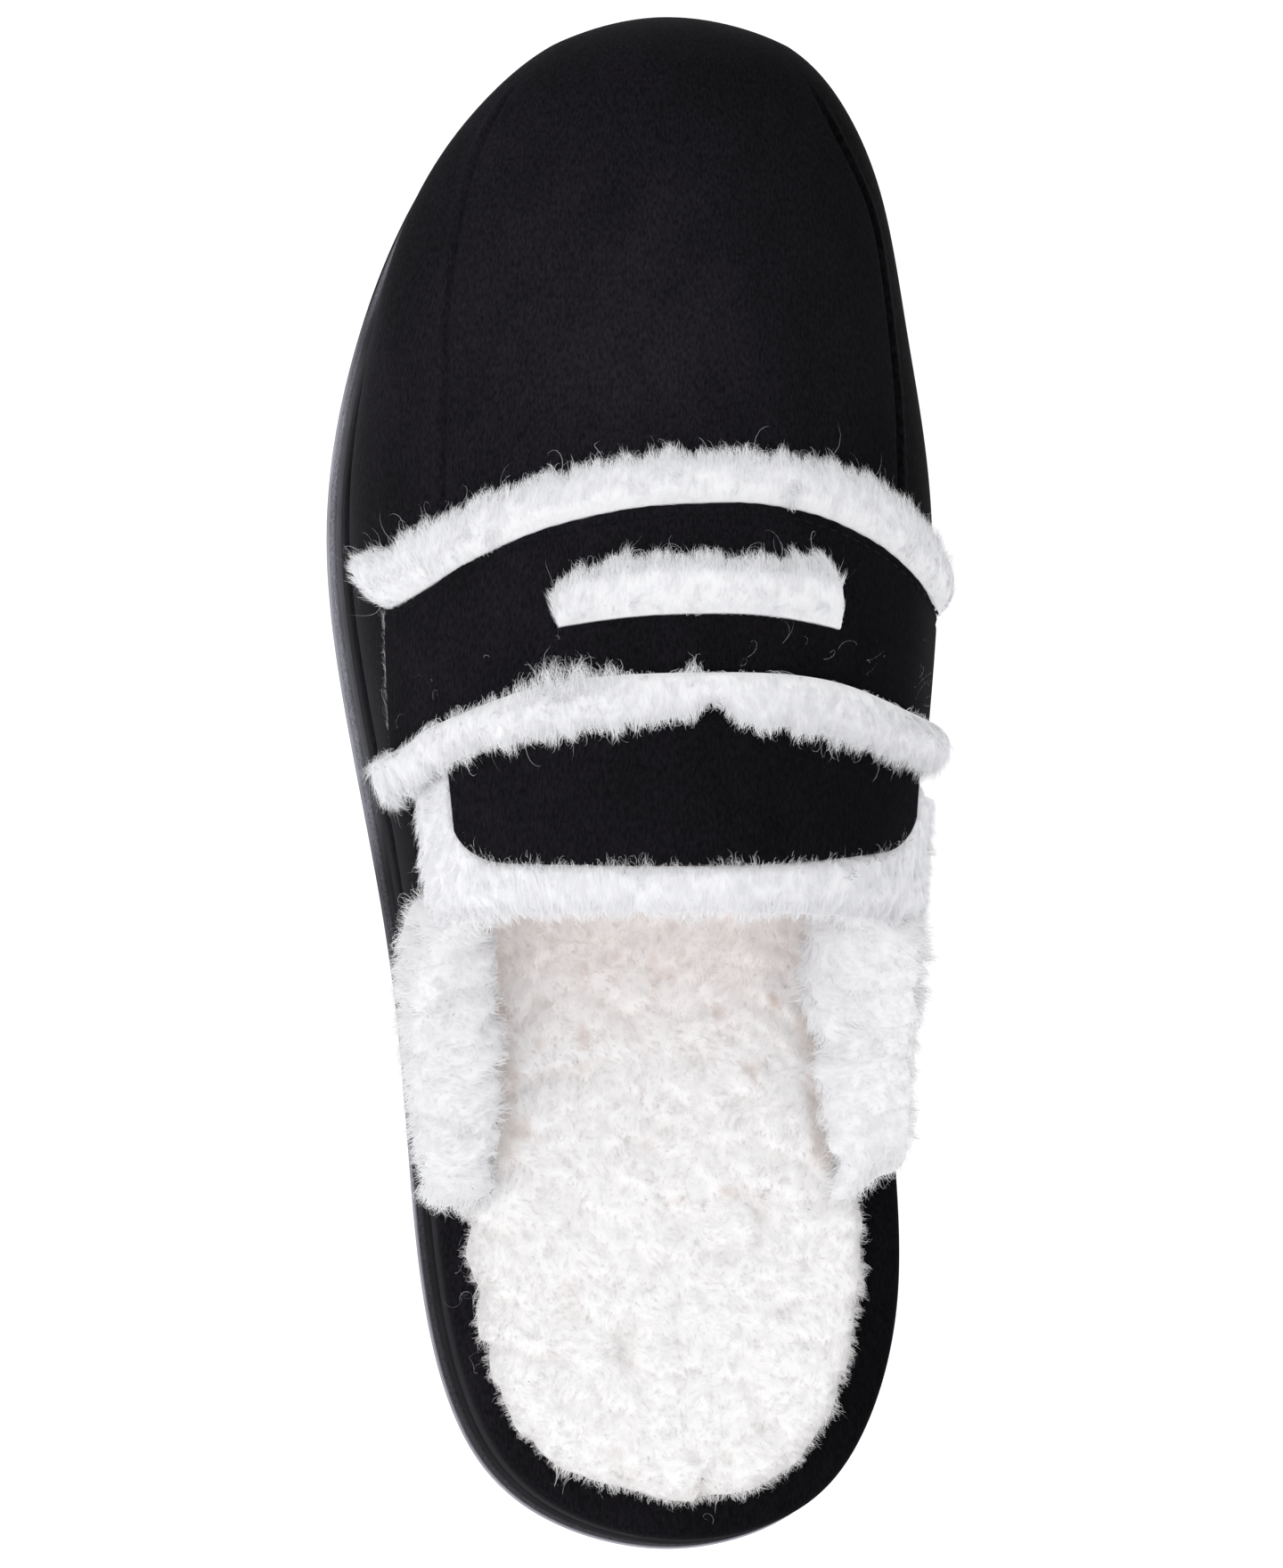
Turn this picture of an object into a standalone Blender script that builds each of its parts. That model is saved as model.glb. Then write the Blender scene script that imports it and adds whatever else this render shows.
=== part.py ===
"""Left scuff slipper with an open heel: suede upper, strap with a slot, tab, fur trims and a moulded sole.

Sizes are millimetres in the last's own coordinates: y runs from the back of the heel to the toe, x from the
lateral side (negative) to the medial side, z up from the floor. The last step moves everything so that the
origin is under the middle of the bounding box, and the meshes are in metres.
"""
import bpy
import numpy as np

MM = 0.001
GAP = 0.3

for old in list(bpy.data.objects):
    bpy.data.objects.remove(old)

# Outline of the platform, which every sole piece and the upper follow
OUTLINE_COLUMNS = ("station", "lateral", "medial")
OUTLINE = (
    (5.5, -19.0, 24.5),
    (18.0, -32.3, 36.0),
    (46.0, -41.0, 43.6),
    (92.0, -45.5, 42.0),
    (140.0, -53.0, 45.0),
    (186.0, -59.5, 48.2),
    (222.0, -54.8, 44.0),
    (250.0, -44.3, 39.0),
    (268.0, -32.0, 30.8),
    (278.5, -19.0, 19.5),
)
HEEL_X = 3.4
HEEL_Y = 0.0
TOE_X = 0.0
TOE_Y = 283.0


def spline(knots, values, where, closed=False):
    """Cubic curve with continuous bending through the values at the knots, read at where."""
    knots = np.asarray(knots, float)
    values = np.asarray(values, float)
    where = np.asarray(where, float)
    count = len(knots)
    step = np.diff(knots)
    slope = np.diff(values) / step
    matrix = np.zeros((count, count))
    pull = np.zeros(count)
    i = np.arange(1, count - 1)
    matrix[i, i - 1] = step[:-1]
    matrix[i, i] = 2 * (step[:-1] + step[1:])
    matrix[i, i + 1] = step[1:]
    pull[i] = 6 * np.diff(slope)
    if closed:
        matrix[0, 0] = 1
        matrix[0, -1] = -1
        matrix[-1, 0] = 2 * step[0]
        matrix[-1, 1] = step[0]
        matrix[-1, -2] = step[-1]
        matrix[-1, -1] = 2 * step[-1]
        pull[-1] = 6 * (slope[0] - slope[-1])
    else:
        matrix[0, 0] = 1
        matrix[-1, -1] = 1
    bend = np.linalg.solve(matrix, pull)
    k = np.clip(np.searchsorted(knots, where) - 1, 0, count - 2)
    t = where - knots[k]
    linear = slope[k] - step[k] * (2 * bend[k] + bend[k + 1]) / 6
    return values[k] + t * linear + t**2 * bend[k] / 2 + t**3 * (bend[k + 1] - bend[k]) / (6 * step[k])


def smooth(low, high, value):
    """0 below low, 1 above high, and an S-shaped rise between."""
    t = np.clip((value - low) / (high - low), 0, 1)
    return t * t * (3 - 2 * t)


def outline_sides():
    """Medial and lateral halves of the closed outline as dense x, y points from the heel to the toe."""
    rows = np.array(OUTLINE)
    heel = [(HEEL_X, HEEL_Y)]
    toe = [(TOE_X, TOE_Y)]
    corners = np.concatenate([heel, rows[:, [2, 0]], toe, rows[::-1][:, [1, 0]], heel])
    chord = np.sqrt(np.linalg.norm(np.diff(corners, axis=0), axis=1))
    knots = np.concatenate([[0], np.cumsum(chord)])
    where = np.linspace(0, knots[-1], 1440, endpoint=False)
    curve = np.stack([spline(knots, corners[:, 0], where, True), spline(knots, corners[:, 1], where, True)], 1)
    curve = np.roll(curve, -int(np.argmin(curve[:, 1])), axis=0)
    tip = int(np.argmax(curve[:, 1]))
    return curve[:tip + 1], np.concatenate([curve[tip:], curve[:1]])[::-1]


MEDIAL, LATERAL = outline_sides()
TIP = MEDIAL[-1, 1]
BACK = MEDIAL[0, 1]


def edge(side, y):
    """x of the outline on one side at station y."""
    return np.interp(y, side[:, 1], side[:, 0])


# Stations that the rings of the sole pieces share, closer together at the heel and the toe
RING_STEPS = 28


def ring(inset, z):
    """Closed ring at a distance inside the outline, at height z(y), medial side first and then back."""
    turn = np.linspace(0, np.pi, RING_STEPS + 1)
    y = BACK + (TIP - BACK) * (1 - np.cos(turn)) / 2
    medial = np.stack([edge(MEDIAL, y), y], 1)
    lateral = np.stack([edge(LATERAL, y), y], 1)
    loop = np.concatenate([medial, lateral[-2:0:-1]])
    ahead = np.roll(loop, -1, axis=0) - np.roll(loop, 1, axis=0)
    inward = np.stack([-ahead[:, 1], ahead[:, 0]], 1)
    inward = inward / np.linalg.norm(inward, axis=1)[:, None]
    loop = loop + inset * inward
    return np.column_stack([loop, z(loop[:, 1])])


def add_object(name, points, faces, material):
    """Mesh object from millimetre points with doubled points joined and faces turned outward."""
    mesh = bpy.data.meshes.new(name)
    keys = {}
    place = []
    unique = []
    for point in points:
        key = tuple(np.round(point, 5))
        if key not in keys:
            keys[key] = len(unique)
            unique.append(point * MM)
        place.append(keys[key])
    joined = []
    for face in faces:
        corners = [place[i] for i in face]
        corners = [c for n, c in enumerate(corners) if c != corners[n - 1]]
        if len(corners) > 2:
            joined.append(corners)
    volume = 0.0
    for face in joined:
        for b, c in zip(face[1:-1], face[2:]):
            volume += np.dot(unique[face[0]], np.cross(unique[b], unique[c]))
    if volume < 0:
        joined = [face[::-1] for face in joined]
    mesh.from_pydata([tuple(p) for p in unique], [], joined)
    mesh.validate()
    mesh.materials.append(material)
    made = bpy.data.objects.new(name, mesh)
    bpy.context.scene.collection.objects.link(made)
    return made


def add_material(name, colour, rough):
    """Principled material with a base colour and roughness."""
    made = bpy.data.materials.new(name)
    made.use_nodes = True
    shader = made.node_tree.nodes["Principled BSDF"]
    shader.inputs["Base Color"].default_value = (*colour, 1)
    shader.inputs["Roughness"].default_value = rough
    return made


def ring_solid(name, rings, material):
    """Solid through a list of rings from the bottom to the top, closed by rungs across both ends."""
    count = len(rings[0])
    half = count // 2
    points = np.concatenate(rings)
    faces = []
    for level in range(len(rings) - 1):
        for i in range(count):
            j = (i + 1) % count
            low = level * count
            high = low + count
            faces.append((low + i, low + j, high + j, high + i))
    top = (len(rings) - 1) * count
    for i in range(half):
        near = (count - i) % count
        far = count - i - 1
        faces.append((i, near, far, i + 1))
        faces.append((top + i, top + i + 1, top + far, top + near))
    return add_object(name, points, faces, material)


def grid_solid(name, outer, inner, material):
    """Solid between two grids of the same shape: columns go across the upper, rows go along it."""
    rows, columns = outer.shape[:2]
    size = rows * columns
    points = np.concatenate([outer.reshape(-1, 3), inner.reshape(-1, 3)])
    faces = []
    for r in range(rows - 1):
        for c in range(columns - 1):
            a = r * columns + c
            b = a + columns
            faces.append((a, b, b + 1, a + 1))
            faces.append((size + a, size + a + 1, size + b + 1, size + b))
    for c in range(columns - 1):
        last = (rows - 1) * columns + c
        faces.append((c, c + 1, size + c + 1, size + c))
        faces.append((last, size + last, size + last + 1, last + 1))
    for r in range(rows - 1):
        a = r * columns
        b = a + columns
        e = a + columns - 1
        f = b + columns - 1
        faces.append((a, size + a, size + b, b))
        faces.append((e, f, size + f, size + e))
    return add_object(name, points, faces, material)


def strip_solid(name, sections, material):
    """Solid through a list of closed sections that run round clockwise, with flat ends."""
    count = len(sections[0])
    points = np.concatenate(sections)
    faces = []
    for s in range(len(sections) - 1):
        for i in range(count):
            j = (i + 1) % count
            a = s * count
            b = a + count
            faces.append((a + i, b + i, b + j, a + j))
    last = (len(sections) - 1) * count
    faces.append(tuple(range(count)))
    faces.append(tuple(last + i for i in reversed(range(count))))
    return add_object(name, points, faces, material)


# Moulded outsole: floor face with arch and toe spring, bottom lip, side band, bead and tread bars
rubber = add_material("sole_rubber", (0.11, 0.11, 0.124), 0.7)
SPRING_START = 212.0
SPRING_RISE = 8.0
ARCH_START = 78.0
ARCH_END = 146.0
ARCH_RISE = 2.4
SOLE_FORE = 13.5
SOLE_HEEL = 17.0
SOLE_COLUMNS = ("inset", "from_floor", "from_top")
SOLE_SIDE = (
    (0.4, 0.0, None),
    (-1.6, 0.9, None),
    (-2.0, 1.6, None),
    (-2.0, 2.4, None),
    (-1.6, 3.2, None),
    (-0.55, None, 2.4),
    (-0.85, None, 1.8),
    (-0.85, None, 0.7),
    (-0.4, None, 0.0),
)
BAR_STATIONS = (22.0, 34.0, 46.0, 58.0, 154.0, 166.0, 178.0, 190.0, 202.0, 218.0, 232.0, 246.0)
BAR_WIDTH = 4.0
BAR_DEPTH = 1.8
BAR_INSET = 9.0


def spring(y):
    """Rise of the toe, growing with the square of the distance past the flat of the forefoot."""
    return SPRING_RISE * np.clip((y - SPRING_START) / (TOE_Y - SPRING_START), 0, 1.1)**2


def floor_face(y):
    """Underside of the sole: flat heel, shallow arch, flat forefoot and toe spring."""
    arch = ARCH_RISE * np.sin(np.pi * np.clip((y - ARCH_START) / (ARCH_END - ARCH_START), 0, 1))**2
    return spring(y) + arch


def sole_top(y):
    """Height of the outsole's upper edge, thicker under the heel."""
    return SOLE_HEEL + (SOLE_FORE - SOLE_HEEL) * smooth(50, 165, y) + spring(y)


sole_rings = []
for inset, from_floor, from_top in SOLE_SIDE:
    if from_top is None:
        sole_rings.append(ring(inset, lambda y, rise=from_floor: floor_face(y) + rise))
    else:
        sole_rings.append(ring(inset, lambda y, drop=from_top: sole_top(y) - drop))
outsole = ring_solid("outsole", sole_rings, rubber)

bar_points = []
bar_faces = []
for station in BAR_STATIONS:
    left = edge(LATERAL, station) + BAR_INSET
    right = edge(MEDIAL, station) - BAR_INSET
    near = station - BAR_WIDTH / 2
    far = station + BAR_WIDTH / 2
    roof = float(floor_face(station)) + BAR_DEPTH
    start = len(bar_points)
    for z in (-4.0, roof):
        for x, y in ((left, near), (right, near), (right, far), (left, far)):
            bar_points.append(np.array((x, y, z)))
    bar_faces += [[start + i for i in face] for face in (
        (3, 2, 1, 0), (4, 5, 6, 7), (0, 1, 5, 4), (1, 2, 6, 5), (2, 3, 7, 6), (3, 0, 4, 7))]
bars = add_object("tread_bar_cutter", bar_points, bar_faces, rubber)
bars.hide_render = True
bars.display_type = "WIRE"
cut = outsole.modifiers.new("tread_bars", "BOOLEAN")
cut.object = bars
cut.operation = "DIFFERENCE"
cut.solver = "EXACT"

# Suede-wrapped midsole: the rand around the shoe, with the rim and the recess that holds the insole
suede = add_material("suede_black", (0.012, 0.011, 0.014), 0.95)
PLATFORM_COLUMNS = ("station", "height")
PLATFORM = (
    (0.0, 30.5), (60.0, 29.5), (118.0, 26.5), (150.0, 25.0), (175.0, 24.5), (210.0, 24.5), (240.0, 26.0),
)
PLATFORM_TIP = 32.5
RIM = 7.5
RECESS = 3.0


def platform(y):
    """Height of the midsole's rim along the shoe."""
    rows = np.array(PLATFORM + ((TOE_Y, PLATFORM_TIP),))
    return spline(rows[:, 0], rows[:, 1], y)


midsole_rings = [
    ring(RIM + 2.0, lambda y: sole_top(y) + GAP),
    ring(0.3, lambda y: sole_top(y) + GAP),
    ring(-0.2, lambda y: sole_top(y) + GAP + 2.5),
    ring(0.0, lambda y: platform(y) - 2.0),
    ring(0.5, lambda y: platform(y) - 0.7),
    ring(1.8, lambda y: platform(y)),
    ring(RIM, lambda y: platform(y)),
    ring(RIM + 0.1, lambda y: platform(y) - RECESS),
]
ring_solid("midsole", midsole_rings, suede)

# Pile insole in the recess, a little higher than the rim
sherpa = add_material("sherpa", (0.80, 0.77, 0.75), 1.0)
PILE = 4.0
insole_rings = [
    ring(RIM + 0.6, lambda y: platform(y) - RECESS + GAP),
    ring(RIM + 0.6, lambda y: platform(y) + 1.2),
    ring(RIM + 1.6, lambda y: platform(y) + 2.8),
    ring(RIM + 4.5, lambda y: platform(y) + PILE - 0.3),
    ring(RIM + 12.0, lambda y: platform(y) + PILE),
]
ring_solid("insole", insole_rings, sherpa)

# Upper: section curves over the platform, written as a function of station and section angle
SECTION_COLUMNS = ("station", "ridge", "crown", "swell_lateral", "swell_medial")
SECTIONS = (
    (0.0, 0.0, 62.0, 3.0, 3.0),
    (60.0, 0.0, 62.0, 3.2, 3.2),
    (118.0, 0.0, 60.5, 3.0, 3.2),
    (150.0, 1.2, 57.5, 1.6, 3.0),
    (175.0, 1.5, 53.0, 1.6, 3.2),
    (210.0, 0.2, 45.5, 2.6, 3.6),
    (240.0, -0.3, 38.0, 5.2, 3.2),
    (260.0, -0.3, 30.5, 4.6, 2.9),
    (283.0, 0.0, 21.0, 1.0, 2.0),
)
WALL = 3.0
FEATHER_INSET = 0.8
SIDE_POWER = 2.3
CROWN_POWER = 2.15
TOE_ROUND = 16.0
TOE_OVERHANG = 0.2
FRONT = TIP + TOE_OVERHANG
TOPLINE_COLUMNS = ("angle", "station")
TOPLINE = (
    (0.0, 64.0), (5.0, 66.0), (10.0, 79.0), (18.0, 98.0), (26.0, 109.5), (36.0, 114.6), (60.0, 116.6),
    (90.0, 117.0), (120.0, 116.6), (144.0, 114.6), (154.0, 109.5), (162.0, 100.0), (170.0, 84.0),
    (175.0, 73.0), (180.0, 71.0),
)
SEAM_DEPTH = 0.8
SEAM_COLUMNS = ("station", "angle")
SEAM_LATERAL = ((116.0, 44.0), (196.0, 45.2), (213.0, 44.8), (226.0, 43.4), (242.0, 42.0), (257.0, 38.4),
                (268.0, 35.2), (283.0, 29.0))
SEAM_MEDIAL = ((116.0, 141.0), (198.0, 140.8), (209.0, 143.0), (223.0, 145.2), (238.0, 146.3), (247.0, 145.0),
               (254.0, 141.6), (265.0, 137.6), (283.0, 137.0))


def column(name, y):
    """One column of the section table read at station y."""
    rows = np.array(SECTIONS)
    return spline(rows[:, 0], rows[:, SECTION_COLUMNS.index(name)], y)


def across_line(rows, angle):
    """Station of a line that crosses the upper, from a table of angles in degrees and stations."""
    rows = np.array(rows)
    return spline(np.radians(rows[:, 0]), rows[:, 1], angle)


def upper_base(y, angle):
    """Outer face: each section is a rounded arch from the lateral feather edge over the ridge to the medial one."""
    y, angle = np.broadcast_arrays(np.asarray(y, float), np.asarray(angle, float))
    y = np.minimum(y, FRONT)
    on_outline = y * TIP / FRONT
    left = edge(LATERAL, on_outline) + FEATHER_INSET
    right = edge(MEDIAL, on_outline) - FEATHER_INSET
    ridge = np.clip(column("ridge", y), left, right)
    to_front = np.clip((FRONT - y) / TOE_ROUND, 0, 1)
    crown = column("crown", y) * np.sqrt(np.clip(1 - (1 - to_front)**2.2, 0, 1))
    c = np.cos(angle)
    s = np.clip(np.sin(angle), 0, 1)
    width = np.where(c > 0, ridge - left, right - ridge)
    swell = np.where(c > 0, column("swell_lateral", y), column("swell_medial", y))
    swell = swell * 3.5 * s * np.abs(c)**4 * np.clip((FRONT - y) / 6, 0, 1)
    x = ridge - np.sign(c) * (width * np.abs(c)**(2 / SIDE_POWER) + swell)
    z = platform(y) + GAP + crown * s**(2 / CROWN_POWER)
    return np.stack([x, y, z], -1)


def upper_normal(y, angle):
    """Outward direction of the outer face, from two small steps along it and across it."""
    y, angle = np.broadcast_arrays(np.asarray(y, float), np.asarray(angle, float))
    y = np.minimum(y, FRONT - 0.6)
    angle = np.clip(angle, 0.02, np.pi - 0.02)
    along = upper_base(y + 0.4, angle) - upper_base(y - 0.4, angle)
    across = upper_base(y, angle + 0.01) - upper_base(y, angle - 0.01)
    normal = np.cross(across, along)
    return normal / np.linalg.norm(normal, axis=-1, keepdims=True)


def upper_surface(y, angle, height):
    """Point at a height above the outer face, measured along its outward direction."""
    y, angle, height = np.broadcast_arrays(np.asarray(y, float), np.asarray(angle, float), np.asarray(height, float))
    return upper_base(y, angle) + height[..., None] * upper_normal(y, angle)


UPPER_ALONG = 20
along = np.sin(np.linspace(0, 1, UPPER_ALONG) * np.pi / 2)
seam_half = np.radians(1.6)
lateral_side = np.array((0.0, 0.12, 0.24, 0.42, 0.62, 0.82))
plug = np.array((0.0, 0.12, 0.26, 0.42, 0.58, 0.74, 0.88, 1.0))


def upper_angle(part, y):
    """Section angle of a grid column, which follows the two lengthwise seams."""
    lateral = np.radians(spline(*np.array(SEAM_LATERAL).T, y))
    medial = np.radians(spline(*np.array(SEAM_MEDIAL).T, y))
    low = lateral - seam_half
    high = medial + seam_half
    inside_low = lateral + seam_half
    inside_high = medial - seam_half
    if part < 1:
        return low * part
    if part == 1.0:
        return lateral
    if part == 4.0:
        return medial
    if part <= 3:
        return inside_low + (inside_high - inside_low) * (part - 2)
    return high + (np.pi - high) * (part - 4)


upper_columns = []
upper_depths = []
for part in np.concatenate([lateral_side, [0.9999, 1.0], 2 + plug, [4.0, 4.0001], 5 - lateral_side[::-1]]):
    y = np.full(UPPER_ALONG, 200.0)
    for repeat in range(12):
        angle = upper_angle(part, y)
        rear = across_line(TOPLINE, angle)
        y = rear + (FRONT - rear) * along
    sunk = SEAM_DEPTH if part in (1.0, 4.0) else 0.0
    upper_columns.append(np.stack([y, upper_angle(part, y)], 1))
    upper_depths.append(np.full(UPPER_ALONG, -sunk) * (1 - smooth(259, 271, y)))
upper_grid = np.stack(upper_columns, 1)
upper_depth = np.stack(upper_depths, 1)
outer = upper_surface(upper_grid[..., 0], upper_grid[..., 1], upper_depth)
inner = upper_surface(upper_grid[..., 0], upper_grid[..., 1], np.full(upper_depth.shape, -WALL))
outer[-1] = outer[-1, 0]
inner[-1] = outer[-1, 0] - np.array((0, WALL, 0))
inner[..., 2] = np.maximum(inner[..., 2], platform(inner[..., 1]) + GAP)
grid_solid("upper", outer, inner, suede)

# Saddle strap across the vamp with a slot, between two heights over the upper
STRAP_FRONT = ((10.0, 166.6), (28.0, 169.6), (36.0, 171.2), (44.0, 174.0), (57.0, 179.2), (92.0, 187.0),
               (127.0, 181.8), (136.0, 178.5), (146.0, 174.6), (170.0, 168.6))
STRAP_REAR = ((10.0, 141.8), (24.0, 143.6), (36.0, 146.0), (51.0, 150.2), (66.0, 153.6), (88.0, 155.2),
              (118.0, 154.3), (137.0, 151.0), (154.0, 149.3), (170.0, 148.0))
STRAP_LATERAL = np.radians(25.3)
STRAP_LEAN = np.radians(6.0)
STRAP_MEDIAL = np.radians(160.0)
STRAP_LOW = GAP
STRAP_HIGH = 2.3
STRAP_THINNED = 1.0
SLOT_REAR = ((55.0, 162.0), (67.0, 164.0), (92.0, 166.4), (119.0, 164.3), (130.0, 162.6))
SLOT_LATERAL = np.radians(66.5)
SLOT_MEDIAL = np.radians(118.5)
SLOT_WIDTH = 7.0


def slab(name, angles, rear, front, low, high, rows, material, lean=0.0):
    """Solid over the upper from a rear line to a front line, between two heights; lean slants its ends."""
    share = np.linspace(0, 1, rows)[:, None]
    angle = angles + lean * (share - 0.5)
    y = rear(angles) + (front(angles) - rear(angles)) * share
    top = upper_surface(y, angle, high(angle, y))
    bottom = upper_surface(y, angle, low(angle, y))
    return grid_solid(name, top, bottom, material)


def strap_top(angle, y):
    """Height of the strap's outer face over the upper: it gets thinner towards the medial end."""
    return STRAP_HIGH - STRAP_THINNED * smooth(np.radians(138), np.radians(156), angle) + 0 * y


strap_angles = np.linspace(STRAP_LATERAL, STRAP_MEDIAL, 27)
strap_lean = STRAP_LEAN * (1 - smooth(STRAP_LATERAL, np.radians(50), strap_angles))
strap = slab("strap", strap_angles, lambda t: across_line(STRAP_REAR, t), lambda t: across_line(STRAP_FRONT, t),
             lambda t, y: STRAP_LOW + 0 * y, strap_top, 5, suede, strap_lean)
slot = slab("slot_cutter", np.linspace(SLOT_LATERAL, SLOT_MEDIAL, 12),
            lambda t: across_line(SLOT_REAR, t), lambda t: across_line(SLOT_REAR, t) + SLOT_WIDTH,
            lambda t, y: -1.0 + 0 * y, lambda t, y: 5.0 + 0 * y, 2, suede)
slot.hide_render = True
slot.display_type = "WIRE"
cut = strap.modifiers.new("slot", "BOOLEAN")
cut.object = slot
cut.operation = "DIFFERENCE"
cut.solver = "EXACT"

# Fur strips: a closed section carried across the upper, with locks that swell it and lengthen its free edge
fur = add_material("fur_white", (0.82, 0.81, 0.83), 1.0)
FUR_COLUMNS = ("reach", "height", "lock_reach", "lock_height")
TRIM_SECTION = (
    (0.0, 0.0, 0.0, 0.0), (0.0, 2.4, 0.0, 0.0), (0.14, 4.2, 0.0, 0.5), (0.46, 5.0, 0.02, 0.9),
    (0.80, 3.6, 0.08, 1.0), (1.0, 1.0, 0.20, 0.3), (0.84, 0.0, 0.08, 0.0), (0.45, 0.0, 0.0, 0.0),
)
SLOT_SECTION = (
    (0.0, 0.0, 0.0, 0.0), (0.0, 3.4, 0.0, 0.0), (0.30, 5.2, 0.0, 0.6), (0.70, 5.4, 0.04, 0.8),
    (1.0, 3.3, 0.16, 0.2), (0.80, 2.4, 0.04, 0.0), (0.585, 2.4, 0.0, 0.0), (0.585, 0.0, 0.0, 0.0),
)


def lock_wave(count, across):
    """Rounded bump for each lock along a strip, each lock with its own size between a half and one."""
    place = across * count
    number = np.floor(np.clip(place, 0, count - 1e-6))
    size = 0.75 + 0.25 * np.sin(number * 2.4 + 0.7)
    return size * np.sqrt(np.abs(np.sin(np.pi * place)))


def trim(name, angles, root, reach, base, section, locks, direction, taper=0.55, fan=0.0, hold=99.0):
    """Fur strip along a root line that crosses the upper, combed to the toe (1) or to the heel (-1).

    fan spreads the free edge past the lateral end of the root line, and hold keeps the last two points of
    the section within that distance of the root.
    """
    rows = np.array(section)
    across = (angles - angles[0]) / (angles[-1] - angles[0])
    bump = lock_wave(locks, across)
    ends = 1 - taper * (1 - np.clip(4 * across * (1 - across), 0, 1)**0.35)
    sections = []
    for angle, wave, end in zip(angles, bump, ends):
        out = reach(angle) * end * (rows[:, 0] + rows[:, 2] * wave)
        out[-2:] = np.minimum(out[-2:], hold)
        y = root(angle) + direction * out
        height = base(angle, y) + end * (rows[:, 1] + rows[:, 3] * wave)
        spread = fan * (1 - smooth(angles[0], angles[0] + np.radians(21), angle)) * rows[:, 0]
        sections.append(upper_surface(y, angle - spread, height))
    return strip_solid(name, sections, fur)


FRONT_LOCKS = 19
front_angles = np.radians(np.linspace(29.0, 163.0, FRONT_LOCKS * 3 + 1))
FRONT_REACH = ((10.0, 11.4), (30.0, 10.6), (44.0, 10.2), (60.0, 9.5), (90.0, 9.0), (108.0, 9.4), (127.0, 11.3),
               (144.0, 11.6), (175.0, 11.4))
FRONT_FAN = np.radians(14.0)
trim("strap_fur_front", front_angles, lambda t: across_line(STRAP_FRONT, t) + 0.4,
     lambda t: across_line(FRONT_REACH, t), lambda t, y: GAP + 0 * y, TRIM_SECTION, FRONT_LOCKS, 1, 0.3, FRONT_FAN)

# Fur in the slot, leaning forward over the strap
SLOT_LOCKS = 8
slot_angles = np.radians(np.linspace(67.0, 118.0, SLOT_LOCKS * 3 + 1))
SLOT_REACH = ((60.0, 5.4), (67.0, 6.2), (72.0, 8.4), (76.0, 9.6), (90.0, 9.6), (103.0, 10.0), (112.0, 11.2),
              (118.0, 12.8), (125.0, 13.6))
trim("slot_fur", slot_angles, lambda t: across_line(SLOT_REAR, t) + 0.35, lambda t: across_line(SLOT_REACH, t),
     lambda t, y: GAP + 0 * y, SLOT_SECTION, SLOT_LOCKS, 1, 0.0, 0.0, SLOT_WIDTH - 0.9)

# Fur mat under the tab: low where the tab lies on it, with a raised border on the three free sides
TAB_LATERAL = np.radians(43.0)
TAB_MEDIAL = np.radians(143.0)
TAB_REAR = ((40.0, 122.6), (87.0, 120.3), (115.0, 122.0), (145.0, 126.5))
TAB_CORNER = np.radians(11.0)
TAB_ROUND = 7.0
TAB_LOW = 2.9
TAB_THICK = 1.8
TAB_DROP_START = 143.0
TAB_DROP_END = 151.0
MAT_LATERAL = np.radians(30.0)
MAT_MEDIAL = np.radians(160.0)
MAT_REAR = 111.6
MAT_FRONT = 141.5
MAT_RECESS = 5.5
MAT_LOW = 2.6
MAT_BORDER = 4.5


def tab_rear(angle):
    """Rear edge of the tab with its two rounded corners."""
    in_lateral = np.clip((TAB_LATERAL + TAB_CORNER - angle) / TAB_CORNER, 0, 1)
    in_medial = np.clip((angle - TAB_MEDIAL + TAB_CORNER) / TAB_CORNER, 0, 1)
    corner = np.maximum(in_lateral, in_medial)
    return across_line(TAB_REAR, angle) + TAB_ROUND * (1 - np.sqrt(np.clip(1 - corner**2, 0, 1)))


mat_beside = np.array((0.0, 0.5, 0.9, 1.0))
mat_angles = np.concatenate([
    MAT_LATERAL + (TAB_LATERAL - MAT_LATERAL) * mat_beside,
    np.linspace(TAB_LATERAL, TAB_MEDIAL, 18)[1:-1],
    MAT_MEDIAL + (TAB_MEDIAL - MAT_MEDIAL) * mat_beside[::-1],
])
mat_edge = MAT_REAR + 1.3 - 1.3 * lock_wave(16, (mat_angles - MAT_LATERAL) / (MAT_MEDIAL - MAT_LATERAL))
mat_line = across_line(TAB_REAR, mat_angles) - 0.4
mat_back = np.array((0.0, 0.12, 0.4, 0.75, 1.0))[:, None]
mat_fore = np.array((0.35, 0.7, 1.0))[:, None]
mat_front = MAT_FRONT - MAT_RECESS * smooth(np.radians(143), np.radians(148), mat_angles)
mat_y = np.concatenate([
    mat_edge + (mat_line - mat_edge) * mat_back,
    mat_line + (mat_front - mat_line) * mat_fore,
])
mat_angle = np.broadcast_to(mat_angles, mat_y.shape)
behind_tab = np.array((1, 1, 1, 1, 0, 0, 0, 0))[:, None]
beside_tab = (mat_angles < TAB_LATERAL - 0.005) | (mat_angles > TAB_MEDIAL + 0.005)
border = np.maximum(behind_tab, beside_tab) * (1 - smooth(136, 141, mat_y))
mat_round = np.array((0.45, 0.85, 1, 1, 1, 1, 1, 1))[:, None]
mat_high = (MAT_LOW + (MAT_BORDER - MAT_LOW) * border) * mat_round
grid_solid("tongue_fur", upper_surface(mat_y, mat_angle, mat_high),
           upper_surface(mat_y, mat_angle, np.full(mat_y.shape, GAP)), fur)

# Suede tab on the mat, dropping to the upper in front where the strap's rear fur covers it


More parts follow.
